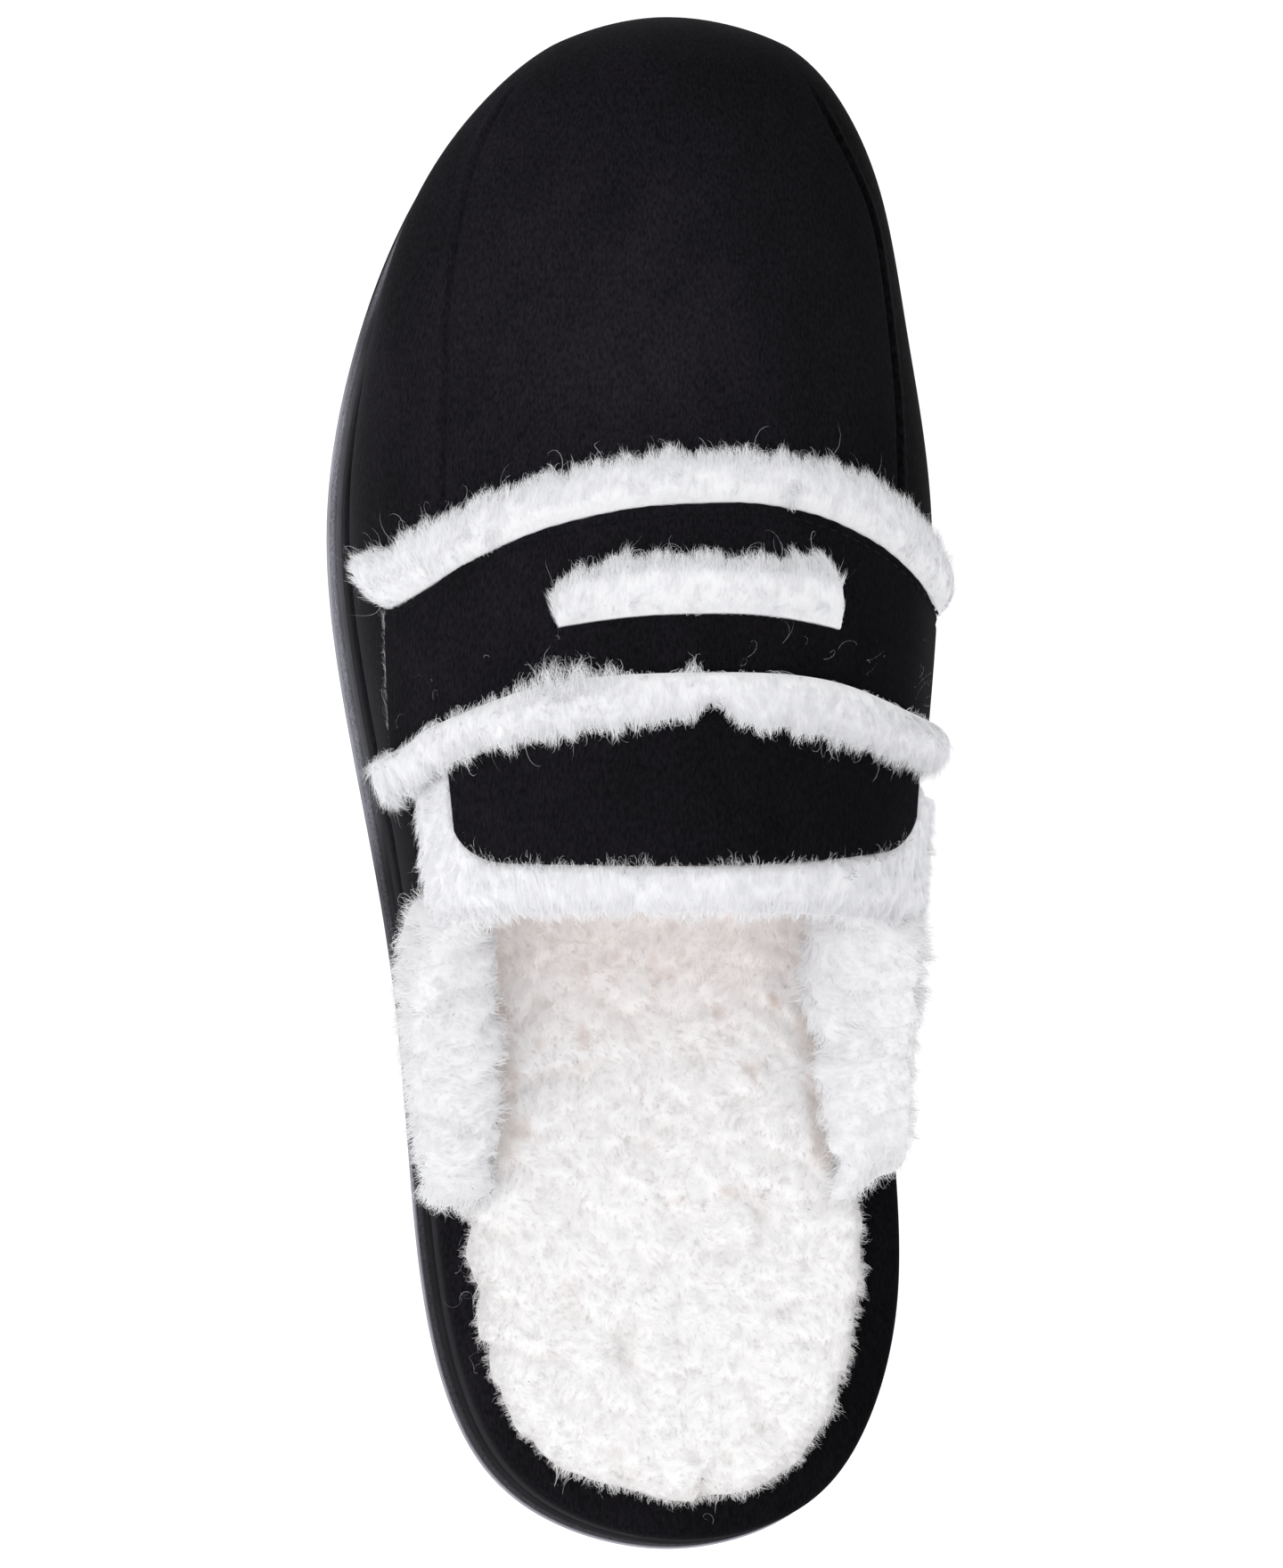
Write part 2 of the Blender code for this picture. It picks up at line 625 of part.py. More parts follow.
def tab_low(angle, y):
    """Underside of the tab: level over the mat, then down to the upper in front."""
    return TAB_LOW + (GAP - TAB_LOW) * smooth(TAB_DROP_START, TAB_DROP_END, y)


tab_angles = np.concatenate([
    TAB_LATERAL + TAB_CORNER * np.array((0.0, 0.06, 0.22, 0.5)),
    np.linspace(TAB_LATERAL + TAB_CORNER, TAB_MEDIAL - TAB_CORNER, 13),
    TAB_MEDIAL - TAB_CORNER * np.array((0.5, 0.22, 0.06, 0.0)),
])
slab("tongue", tab_angles, tab_rear, lambda t: across_line(STRAP_REAR, t) - 0.5,
     tab_low, lambda t, y: tab_low(t, y) + TAB_THICK, 7, suede)

# Fur behind the strap, lying on the tab and on the mat, with a thin place in the middle
REAR_LOCKS = 20
REAR_REACH = ((10.0, 7.4), (20.0, 8.2), (31.0, 9.4), (46.0, 8.4), (67.0, 9.8), (80.0, 9.4), (102.0, 10.4),
              (128.0, 10.6), (150.0, 9.4), (175.0, 8.0))
THIN_PLACE = np.radians(91.0)
THIN_WIDTH = np.radians(3.2)
rear_angles = np.radians(np.linspace(14.0, 160.0, REAR_LOCKS * 3 + 1))


def rear_reach(angle):
    """Length of the rear fur, shorter at the thin place."""
    return across_line(REAR_REACH, angle) * (1 - 0.34 * np.exp(-((angle - THIN_PLACE) / THIN_WIDTH)**2))


def rear_base(angle, y):
    """Height that the rear fur lies on: the tab and the mat in the middle, the upper at the two ends."""
    middle = smooth(np.radians(22), np.radians(28), angle)
    middle = middle * (1 - smooth(np.radians(146), np.radians(153), angle))
    beside = 1 - smooth(np.radians(33), np.radians(42), angle)
    drop = smooth(TAB_DROP_START - 1.4 * beside, TAB_DROP_END - 7.0 * beside, y)
    tab_top = TAB_LOW + TAB_THICK + (GAP - TAB_LOW - TAB_THICK * beside) * drop
    return GAP + tab_top * middle


trim("strap_fur_rear", rear_angles, lambda t: across_line(STRAP_REAR, t) - 0.4,
     rear_reach, rear_base, TRIM_SECTION[::-1], REAR_LOCKS, -1)

# Collar fur: a roll over the topline of each quarter, open below so that the wall of the upper stands in it
ROLL_COLUMNS = ("down", "out")
ROLL_OUTSIDE = ((10.5, 0.5), (12.0, 1.8), (9.0, 3.6), (3.0, 4.4))
ROLL_OVER = ((-3.0, 3.8), (-5.6, 0.6), (-5.9, -3.8), (-4.6, -8.6))
ROLL_INSIDE = ((0.5, -12.2), (6.0, -13.0), (10.5, -11.6), (12.5, -8.0), (11.0, -3.6), (5.0, -3.4))
ROLL_SLOT = ((-1.8, -3.6), (-1.8, 0.6), (5.0, 0.5))
ROLL_FRONT = 110.6
ROLL_STEPS = 22
ROLL_LOCKS = 7
ROLL_LATERAL_BACK = 61.5
ROLL_MEDIAL_BACK = 68.5


def topline_angle(y, lateral):
    """Section angle of the topline at station y on one quarter."""
    angle = np.radians(np.linspace(0, 34, 200)) if lateral else np.radians(np.linspace(180, 146, 200))
    return np.interp(y, np.maximum.accumulate(across_line(TOPLINE, angle)), angle)


def collar_roll(name, back, lateral):
    """Roll from the platform up to the mat: its section hangs on the topline outside and inside the wall."""
    down = 1.0 if lateral else -1.0
    share = np.linspace(0, 1, ROLL_STEPS)
    bump = lock_wave(ROLL_LOCKS, share)
    sections = []
    for y, wave, part in zip(back + (ROLL_FRONT - back) * share, bump, share):
        top = topline_angle(y, lateral)
        feather = 0.0 if lateral else np.pi
        rise = float(upper_base(y, top)[2] - upper_base(y, feather)[2])
        step = np.linalg.norm(upper_base(y, top + 0.01) - upper_base(y, top - 0.01)) / 0.02
        outside = np.clip((rise - 1.0) / 12.5, 0.04, 1)
        inside = np.clip((rise - 7.2) / 12.5, 0.04, 1)
        girth = 0.44 + 0.56 * smooth(0.0, 0.5, part) + 0.06 * wave
        rows = []
        for drop, out in ROLL_OUTSIDE:
            rows.append((drop * outside, max(out * girth, 0.5)))
        for drop, out in ROLL_OVER:
            rows.append((drop * girth, out * girth if out > 0 else -WALL + (out + WALL) * girth))
        for drop, out in ROLL_INSIDE:
            rows.append((drop * inside, min(-WALL + (out + WALL) * girth, -3.6)))
        for drop, out in ROLL_SLOT:
            rows.append((drop * outside if drop > 0 else drop, out))
        rows = np.array(rows)
        angle = top - down * rows[:, 0] / step
        spot = upper_surface(np.full(len(rows), y), angle, rows[:, 1])
        spot[:, 1] = y
        spot[:, 2] = np.maximum(spot[:, 2], platform(y) + GAP)
        sections.append(spot)
    if not lateral:
        sections = sections[::-1]
    return strip_solid(name, sections, fur)


collar_roll("collar_fur_lateral", ROLL_LATERAL_BACK, True)
collar_roll("collar_fur_medial", ROLL_MEDIAL_BACK, False)

# Put the origin under the middle of the whole slipper
bpy.context.view_layer.update()
solids = [thing for thing in bpy.data.objects if not thing.hide_render]
corners = np.concatenate([np.array([v.co for v in thing.data.vertices]) for thing in solids])
low = corners.min(axis=0)
high = corners.max(axis=0)
shift = np.array((-(low[0] + high[0]) / 2, -(low[1] + high[1]) / 2, -low[2]))
for thing in bpy.data.objects:
    for vertex in thing.data.vertices:
        vertex.co = vertex.co + type(vertex.co)(shift)
print("shift in millimetres", np.round(shift / MM, 4), "size", np.round((high - low) / MM, 3))
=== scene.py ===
"""Left scuff slipper: black suede with a slotted strap and a tab, white fur trims, pile insole, rubber sole.

Shapes are worked out in millimetres in the last's coordinates: y runs from the back of the heel to the toe,
x from the lateral side (negative) to the medial side, z up from the floor. make_piece moves them into the
frame, in metres.
"""
import bpy
import numpy as np
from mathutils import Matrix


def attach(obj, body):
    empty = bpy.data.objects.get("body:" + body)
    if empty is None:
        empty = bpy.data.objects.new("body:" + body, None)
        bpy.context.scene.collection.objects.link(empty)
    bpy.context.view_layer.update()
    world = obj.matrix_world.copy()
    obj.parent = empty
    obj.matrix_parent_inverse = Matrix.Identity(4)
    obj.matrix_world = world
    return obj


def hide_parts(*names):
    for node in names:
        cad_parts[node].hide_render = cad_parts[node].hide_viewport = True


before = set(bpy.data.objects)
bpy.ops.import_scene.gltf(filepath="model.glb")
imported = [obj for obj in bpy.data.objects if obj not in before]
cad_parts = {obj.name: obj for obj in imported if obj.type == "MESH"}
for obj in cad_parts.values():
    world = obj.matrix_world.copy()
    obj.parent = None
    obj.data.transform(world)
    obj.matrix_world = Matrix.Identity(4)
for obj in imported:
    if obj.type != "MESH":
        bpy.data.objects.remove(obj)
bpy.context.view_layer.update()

# Outsole: one moulded rubber unit, cemented under the midsole. Its side has a smooth rounded lip at the
# floor, a grained band above it and a thin bead at the top. The underside has an arch, a toe spring and
# sunk tread bars.
MM = 0.001
LAST_ORIGIN = np.array((4.3526, -141.5003, 0.0))
# Outline of the platform: station, lateral x, medial x
OUTLINE = (
    (5.5, -19.0, 24.5), (18.0, -32.3, 36.0), (46.0, -41.0, 43.6), (92.0, -45.5, 42.0),
    (140.0, -53.0, 45.0), (186.0, -59.5, 48.2), (222.0, -54.8, 44.0), (250.0, -44.3, 39.0),
    (268.0, -32.0, 30.8), (278.5, -19.0, 19.5),
)
OUTLINE_STEPS = 1440
HEEL = (3.4, 0.0)
TOE = (0.0, 283.0)
SPRING_START = 212.0
SPRING_RISE = 8.0
ARCH_START = 78.0
ARCH_END = 146.0
ARCH_RISE = 2.4
SOLE_FORE = 13.5
SOLE_HEEL = 17.0
SOLE_STEPS = 141
# Lip and bead: inset from the outline, rise from the floor face or from the top edge
LIP = ((0.4, 0.0), (-0.7, 0.25), (-1.4, 0.7), (-1.9, 1.3), (-2.0, 2.0), (-1.93, 2.5), (-1.78, 2.9),
       (-1.6, 3.2))
BEAD = ((-0.55, -2.5), (-0.6, -2.25), (-0.78, -2.0), (-0.86, -1.6), (-0.86, -1.05), (-0.76, -0.55),
        (-0.6, -0.2), (-0.4, 0.0))
BAND_ROWS = 7
# Painted light and shade on the rubber: station, tone of the lip, tone of the band
SOLE_PAINTED_LIGHT = (
    (0.0, 1.8, 0.3), (30.0, 1.8, 0.28), (70.0, 1.7, 0.25), (100.0, 0.8, 0.38), (124.0, 0.45, 0.36),
    (136.0, 1.4, 1.0), (150.0, 1.9, 1.25), (208.0, 1.9, 1.25), (216.0, 1.5, 1.0), (226.0, 0.8, 0.45),
    (234.0, 0.15, 0.7), (243.0, 0.15, 0.95), (260.0, 0.2, 0.8), (290.0, 0.2, 0.5),
)
BAR_STATIONS = np.array((22.0, 34.0, 46.0, 58.0, 154.0, 166.0, 178.0, 190.0, 202.0, 218.0, 232.0, 246.0))
BAR_WIDTH = 4.0
BAR_DEPTH = 1.8
BAR_INSET = 9.0


def spline(knots, values, where, closed=False):
    """Cubic curve with continuous bending through the values at the knots, read at where."""
    knots, values, where = [np.asarray(some, float) for some in (knots, values, where)]
    count = len(knots)
    step = np.diff(knots)
    slope = np.diff(values) / step
    matrix = np.zeros((count, count))
    pull = np.zeros(count)
    i = np.arange(1, count - 1)
    matrix[i, i - 1] = step[:-1]
    matrix[i, i] = 2 * (step[:-1] + step[1:])
    matrix[i, i + 1] = step[1:]
    pull[i] = 6 * np.diff(slope)
    matrix[[0, -1], [0, -1]] = 1
    if closed:
        matrix[0, -1] = -1
        matrix[-1, [0, 1, -2, -1]] = (2 * step[0], step[0], step[-1], 2 * step[-1])
        pull[-1] = 6 * (slope[0] - slope[-1])
    bend = np.linalg.solve(matrix, pull)
    k = np.clip(np.searchsorted(knots, where) - 1, 0, count - 2)
    t = where - knots[k]
    linear = slope[k] - step[k] * (2 * bend[k] + bend[k + 1]) / 6
    return values[k] + t * linear + t**2 * bend[k] / 2 + t**3 * (bend[k + 1] - bend[k]) / (6 * step[k])


def smooth(low, high, value):
    """0 at low, 1 at high, an S-shaped way between them, and level beyond both."""
    t = np.clip((value - low) / (high - low), 0, 1)
    return t * t * (3 - 2 * t)


def eased(start, end, count):
    """Steps from start to end that are closer together at both ends, like the cosine of an even turn."""
    return start + (end - start) * (1 - np.cos(np.linspace(0, np.pi, count))) / 2


def outline_sides():
    """Medial and lateral halves of a closed spline through the outline table, as x, y points, heel to toe."""
    rows = np.array(OUTLINE)
    corners = np.concatenate([[HEEL], rows[:, [2, 0]], [TOE], rows[::-1][:, [1, 0]], [HEEL]])
    chord = np.sqrt(np.linalg.norm(np.diff(corners, axis=0), axis=1))
    knots = np.concatenate([[0], np.cumsum(chord)])
    where = np.linspace(0, knots[-1], OUTLINE_STEPS, endpoint=False)
    curve = np.stack([spline(knots, values, where, True) for values in corners.T], 1)
    curve = np.roll(curve, -int(np.argmin(curve[:, 1])), axis=0)
    tip = int(np.argmax(curve[:, 1]))
    return curve[:tip + 1], np.concatenate([curve[tip:], curve[:1]])[::-1]


MEDIAL, LATERAL = outline_sides()
TIP = MEDIAL[-1, 1]
BACK = MEDIAL[0, 1]


def edge(side, y):
    """x of the outline on one side at station y."""
    return np.interp(y, side[:, 1], side[:, 0])


def rings(stations, table, height):
    """Closed rings, one for each row of a table with its inset from the outline and its rise above height(y).

    Each runs along the medial side to the toe, back along the lateral side, and to its first point again.
    """
    medial, lateral = [np.stack([edge(side, stations), stations], 1) for side in (MEDIAL, LATERAL)]
    flat = np.concatenate([medial, lateral[-2:0:-1]])
    ahead = np.roll(flat, -1, axis=0) - np.roll(flat, 1, axis=0)
    inward = np.stack([-ahead[:, 1], ahead[:, 0]], 1)
    inset, rise = np.array(table).T[..., None]
    flat = flat + inset[..., None] * inward / np.linalg.norm(inward, axis=1)[:, None]
    flat = np.concatenate([flat, flat[:, :1]], 1)
    return np.concatenate([flat, (height(flat[..., 1]) + rise)[..., None]], -1)


def rungs(line, shares):
    """Grid that fills a ring: straight rungs from its lateral to its medial half, cut at the given shares."""
    half = (len(line) - 1) // 2
    medial = line[:half + 1]
    lateral = line[half:][::-1]
    return lateral[:, None] + (medial - lateral)[:, None] * np.asarray(shares)[..., None]


def spring(y):
    """Rise of the toe, growing with the square of the distance past the flat of the forefoot."""
    return SPRING_RISE * np.clip((y - SPRING_START) / (TOE[1] - SPRING_START), 0, 1.1)**2


def floor_face(y):
    """Underside of the sole: flat heel, shallow arch, flat forefoot and toe spring."""
    in_arch = np.clip((y - ARCH_START) / (ARCH_END - ARCH_START), 0, 1)
    return spring(y) + ARCH_RISE * np.sin(np.pi * in_arch)**2


def sole_top(y):
    """Height of the outsole's upper edge, thicker under the heel."""
    return SOLE_HEEL + (SOLE_FORE - SOLE_HEEL) * smooth(50, 165, y) + spring(y)


def carry(grid, *values):
    """Grid with more numbers after each point's own, every one of them spread over the grid."""
    spread = [np.broadcast_to(value, grid.shape[:2]) for value in values]
    return np.concatenate([grid, np.stack(spread, -1)], -1)


def quads_of(numbers):
    """Four-cornered faces between the neighbours in a grid of point numbers, or in a stack of such grids."""
    corners = [numbers[..., :-1, :-1], numbers[..., :-1, 1:], numbers[..., 1:, 1:], numbers[..., 1:, :-1]]
    return np.stack(corners, -1).reshape(-1, 4)


def skin(*patches):
    """One closed surface from grids that meet along their borders.

    Points that coincide become one, faces that fold to a line are dropped, and the sign of the enclosed
    volume turns all faces outward. Numbers after x, y, z are carried along.
    """
    points = np.concatenate([patch.reshape(-1, patch.shape[-1]) for patch in patches])
    starts = np.cumsum([0] + [patch.shape[0] * patch.shape[1] for patch in patches])
    quads = [quads_of(np.arange(first, last).reshape(patch.shape[:2]))
             for patch, first, last in zip(patches, starts, starts[1:])]
    keys, kept, place = np.unique(np.round(points[:, :3], 4), axis=0, return_index=True, return_inverse=True)
    points = points[kept]
    faces = place.reshape(-1)[np.concatenate(quads)]
    folded = (faces == np.roll(faces, 1, axis=1)).any(axis=1)
    halves = np.concatenate([faces[folded][:, [0, 1, 2]], faces[folded][:, [0, 2, 3]]])
    triangles = halves[(halves != np.roll(halves, 1, axis=1)).all(axis=1)]
    quads = faces[~folded]
    corners = points[np.concatenate([quads[:, :3], quads[:, [0, 2, 3]], triangles]), :3]
    if np.sum(np.cross(corners[:, 0], corners[:, 1]) * corners[:, 2]) < 0:
        quads = quads[:, ::-1]
        triangles = triangles[:, ::-1]
    return points, quads, triangles


def make_piece(name, material, skins, channels=()):
    """Object in the frame from surfaces in millimetres.

    The numbers after x, y, z become named point attributes, and three more after those are shading normals,
    of which zeros leave a point's own.
    """
    parts = list(zip(*skins))
    starts = np.cumsum([0] + [len(points) for points in parts[0]])
    points = np.concatenate(parts[0])
    quads, triangles = [np.concatenate([faces + n for faces, n in zip(part, starts)]) for part in parts[1:]]
    mesh = bpy.data.meshes.new(name)
    mesh.vertices.add(len(points))
    mesh.vertices.foreach_set("co", ((points[:, :3] + LAST_ORIGIN) * MM).ravel())
    corners = np.concatenate([quads.ravel(), triangles.ravel()])
    mesh.loops.add(len(corners))
    mesh.loops.foreach_set("vertex_index", corners)
    sizes = np.concatenate([np.full(len(quads), 4), np.full(len(triangles), 3)])
    mesh.polygons.add(len(sizes))
    mesh.polygons.foreach_set("loop_start", np.cumsum(sizes) - sizes)
    mesh.polygons.foreach_set("use_smooth", np.ones(len(sizes), bool))
    mesh.update(calc_edges=True)
    for n, channel in enumerate(channels):
        layer = mesh.attributes.new(channel, "FLOAT", "POINT")
        layer.data.foreach_set("value", points[:, 3 + n].astype(np.float32))
    if points.shape[1] == 6 + len(channels):
        mesh.normals_split_custom_set_from_vertices(points[:, -3:].tolist())
    mesh.materials.append(material)
    made = bpy.data.objects.new(name, mesh)
    bpy.context.scene.collection.objects.link(made)
    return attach(made, "root")


def fill(material, node, inputs):
    """Sets input sockets of a node: each gets a value, or a link where it is given another node's output."""
    for socket, value in inputs.items():
        if isinstance(value, bpy.types.NodeSocket):
            material.node_tree.links.new(value, node.inputs[socket])
        else:
            node.inputs[socket].default_value = value


def finish(material, inputs):
    """Sets input sockets of a material's own shader."""
    fill(material, material.node_tree.nodes["Principled BSDF"], inputs)


def add_material(name, colour, rough, specular):
    """Principled material with its base colour, roughness and specular level."""
    made = bpy.data.materials.new(name)
    made.use_nodes = True
    finish(made, {"Base Color": (*colour, 1), "Roughness": rough, "Specular IOR Level": specular})
    return made


def add_node(material, kind, inputs, output, **settings):
    """One output of a new node, with the node's own settings made and its input sockets filled."""
    made = material.node_tree.nodes.new("ShaderNode" + kind)
    for setting, value in settings.items():
        setattr(made, setting, value)
    fill(material, made, inputs)
    return made.outputs[output]


def on_object(material):
    """Object coordinates."""
    return add_node(material, "TexCoord", {}, "Object")


def attribute(material, name):
    """Value of a piece's own point attribute."""
    return add_node(material, "Attribute", {}, "Fac", attribute_name=name)


def pattern(material, stretch, size, detail, rough=0.6, place=None):
    """Noise with features about size millimetres across, drawn out by stretch along x, y and z.

    It lies on Object coordinates, or on the coordinates that place gives.
    """
    place = on_object(material) if place is None else place
    drawn = add_node(material, "Mapping", {"Vector": place, "Scale": tuple(1 / s for s in stretch)}, "Vector")
    inputs = {"Vector": drawn, "Scale": 1 / (MM * size), "Detail": detail, "Roughness": rough}
    return add_node(material, "TexNoise", inputs, "Fac")


def blend(material, value, low, high, start, stop):
    """Colour that goes from low to high as a value passes from start to stop."""
    colour = add_node(material, "ValToRGB", {"Fac": value}, "Color")
    for element, place, tone in zip(colour.node.color_ramp.elements, (start, stop), (low, high)):
        element.position = place
        element.color = (*tone, 1)
    return colour


def mix(material, factor, first, second, how="MULTIPLY"):
    """Two colours mixed by a factor, as a product unless another way is given."""
    inputs = {"Factor": factor, "A": first, "B": second}
    return add_node(material, "Mix", inputs, "Result", data_type="RGBA", blend_type=how)


def scaled(material, colour, scale):
    """Colour times a number."""
    return add_node(material, "VectorMath", {"Vector": colour, "Scale": scale}, "Vector", operation="SCALE")


def add_bump(material, height, distance, strength):
    """Relief of a distance in millimetres on a material, from a height between 0 and 1."""
    inputs = {"Height": height, "Distance": distance * MM, "Strength": strength}
    finish(material, {"Normal": add_node(material, "Bump", inputs, "Normal")})


bar_edges = BAR_STATIONS[:, None] + (BAR_WIDTH / 2) * np.array((-1.06, -0.94, 0.94, 1.06))
sole_stations = np.unique(np.concatenate([eased(BACK, TIP, SOLE_STEPS), bar_edges.ravel()]))
band_share = np.linspace(0, 1, BAND_ROWS + 2)[1:-1]
lip = rings(sole_stations, LIP, floor_face)
bead = rings(sole_stations, BEAD, sole_top)
band = lip[-1] + (bead[0] - lip[-1]) * band_share[:, None, None]
sole_side = np.concatenate([lip, band, bead])
grained = np.concatenate([np.zeros(len(LIP)), np.ones(BAND_ROWS), np.zeros(len(BEAD))])[:, None]
lip_tone, band_tone = [np.interp(sole_side[..., 1], *np.array(SOLE_PAINTED_LIGHT).T[[0, k]]) for k in (1, 2)]
climb = np.concatenate([np.zeros(len(LIP) - 1), [0.5], 1 + band_share, np.full(len(BEAD), 2.0)])[:, None]
# Painted light on the sole: a painted highlight on the rounded lip, and a painted shade that darkens the upper
# rows of the band and the bead, both varying along the sole
painted_sole_light = lip_tone + (band_tone * (1 - 0.6 * smooth(1.4, 1.8, climb)) - lip_tone) * smooth(0, 1, climb)

wide = np.linalg.norm(np.diff(rungs(lip[0], (0, 1)), axis=1)[:, 0], axis=1)[:, None]
near = np.array((0.0, 4.0, BAR_INSET - 0.15, BAR_INSET + 0.15)) / np.maximum(wide, 0.1)
near = np.minimum(near, np.array((0.0, 0.15, 0.3, 0.35)))
between = np.broadcast_to(np.linspace(0.42, 0.58, 3), (len(wide), 3))
shares = np.concatenate([near, between, 1 - near[:, ::-1]], 1)
underside = rungs(lip[0], shares)
in_bar = np.min(np.abs(underside[..., 1:2] - BAR_STATIONS), axis=-1) < BAR_WIDTH / 2
from_side = np.minimum(shares, 1 - shares) * wide
underside[..., 2] = floor_face(underside[..., 1]) + BAR_DEPTH * (in_bar & (from_side > BAR_INSET))
sole_roof = rungs(bead[-1], np.linspace(0, 1, 4))

rubber = add_material("sole_rubber", (0.15, 0.15, 0.17), 0.9, 0.0)
grain = pattern(rubber, (1, 1, 1), 0.7, 3)
dust = pattern(rubber, (1, 1, 1), 9, 2)
on_band = attribute(rubber, "band")
dusty = blend(rubber, dust, (0.165, 0.165, 0.185), (0.205, 0.205, 0.232), 0.32, 0.68)
pitted = blend(rubber, grain, (0.6, 0.6, 0.61), (1.3, 1.3, 1.32), 0.36, 0.66)
# The dust and grain are the rubber's own; the painted light and shade scale them
finish(rubber, {"Base Color": scaled(rubber, mix(rubber, on_band, dusty, pitted), attribute(rubber, "painted_sole_light"))})
grain_height = add_node(rubber, "Math", {0: grain, 1: on_band}, "Value", operation="MULTIPLY")
add_bump(rubber, grain_height, 0.5, 0.9)

sole_skin = skin(carry(sole_side, grained, painted_sole_light), carry(underside, 0.0, 0.6)[:, ::-1],
                 carry(sole_roof, 0.0, 0.2))
outsole = make_piece("outsole_skin", rubber, [sole_skin], ["band", "painted_sole_light"])
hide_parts("outsole")

# Midsole: a foam platform wrapped in the same suede as the upper, cemented on the outsole. Its wall is the
# dark rand around the shoe, and its top shows as a rounded rim round the open heel, outside the recess of
# the insole.
GAP = 0.3
# Height of the rim: station, height
PLATFORM = ((0.0, 30.5), (60.0, 29.5), (118.0, 26.5), (150.0, 25.0), (175.0, 24.5), (210.0, 24.5),
            (240.0, 26.0), (283.0, 32.5))
RIM = 7.5
RECESS = 3.0
WRAP_STEPS = 201
# Lower and upper part of the wrap: inset from the outline, rise from the outsole or from the rim
RAND = ((RIM + 2.0, 0.0), (0.9, 0.0), (0.35, 0.25), (0.1, 0.8), (-0.1, 1.6), (-0.2, 2.6))
WRAP = ((-0.15, -4.0), (-0.05, -2.6), (0.06, -1.7), (0.32, -0.95), (0.75, -0.42), (1.3, -0.12), (2.0, 0.0),
        (RIM - 1.2, 0.0), (RIM - 0.4, -0.18), (RIM, -0.7), (RIM + 0.1, -RECESS))


def platform(y):
    """Height of the midsole's rim along the shoe, a spline through the platform table."""
    return spline(*np.array(PLATFORM).T, y)


wrap_stations = eased(BACK, TIP, WRAP_STEPS)
rand = rings(wrap_stations, RAND, lambda y: sole_top(y) + GAP)
wrap = rings(wrap_stations, WRAP, platform)
wrap_shares = np.linspace(0, 1, 5)
wrap_skin = skin(np.concatenate([rand, wrap]), rungs(rand[0], wrap_shares)[:, ::-1],
                 rungs(wrap[-1], wrap_shares))

suede = add_material("black_suede", (0.008, 0.0075, 0.0095), 0.95, 0.04)
finish(suede, {"Sheen Weight": 0.015, "Sheen Roughness": 0.4, "Sheen Tint": (0.8, 0.78, 0.9, 1)})
nap = pattern(suede, (1, 3, 1), 0.42, 3)
nap_tone = blend(suede, nap, (0.0034, 0.0031, 0.0038), (0.0106, 0.0098, 0.0124), 0.32, 0.7)
brushed = pattern(suede, (1, 1.7, 1), 13, 2)
brush_tone = blend(suede, brushed, (0.82, 0.82, 0.82), (1.15, 1.13, 1.17), 0.3, 0.7)
pebble = pattern(suede, (1, 1.4, 1), 1.1, 1)
pebble_tone = blend(suede, pebble, (0.25, 0.25, 0.25), (0.95, 0.95, 0.95), 0.38, 0.66)
# Painted light on the suede: lighter on the lateral side and darker on the medial side, as where light falls
# from the left
painted_light_x = add_node(suede, "SeparateXYZ", {"Vector": on_object(suede)}, "X")
painted_side_range = {"Value": painted_light_x, "From Min": -0.03, "From Max": 0.04, "To Min": 1.38, "To Max": 0.5}
painted_side_light = add_node(suede, "MapRange", painted_side_range, "Result")
# Painted highlight round the crown of the plug, falling off towards the toe and the tongue; it is added to the
# painted side light, and together they scale the suede's colour
painted_crown_span = {"Vector": on_object(suede), "Location": (0.02, -0.9, -0.5), "Scale": (14, 12, 8)}
painted_crown_place = add_node(suede, "Mapping", painted_crown_span, "Vector")
painted_crown_light = add_node(suede, "TexGradient", {"Vector": painted_crown_place}, "Fac", gradient_type="QUADRATIC_SPHERE")
painted_light_scale = add_node(suede, "Math", {0: painted_crown_light, 1: 1.1, 2: painted_side_light}, "Value", operation="MULTIPLY_ADD")
painted_light_tone = scaled(suede, mix(suede, 1, nap_tone, brush_tone), painted_light_scale)
finish(suede, {"Base Color": mix(suede, attribute(suede, "strip"), painted_light_tone, pebble_tone)})
add_bump(suede, nap, 0.25, 0.5)

midsole = make_piece("midsole_wrap", suede, [wrap_skin])
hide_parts("midsole")

# Insole: a foam footbed covered with curly white pile, laid into the recess of the midsole. The pile
# gathers in tufts a few millimetres across, each with its hairs swirled round it, and a painted warm
# shade in the creases between.
PILE = 4.0
PILE_LOW = 0.4
TUFT = 6.6
TUFT_HEIGHT = 2.1
FINE_TUFT = 0.55
FINE_HEIGHT = 0.4
BED_CLEARANCE = 0.5
BED_ROUND = 6
BED_COLUMNS = 96
BED_END = 12
OVERHANG = 2.4
HEEL_CENTRE = np.array((0, 62.0, 0))
LINING_REACH = 3.2
CELL_TABLE = 64
FUR_CHANNELS = ("tip", "tone")


def rounded(distance, radius):
    """Quarter circle: 0 at its foot, and 1 from a distance of one radius on."""
    return np.sqrt(1 - (1 - np.clip(distance / radius, 0, 1))**2)


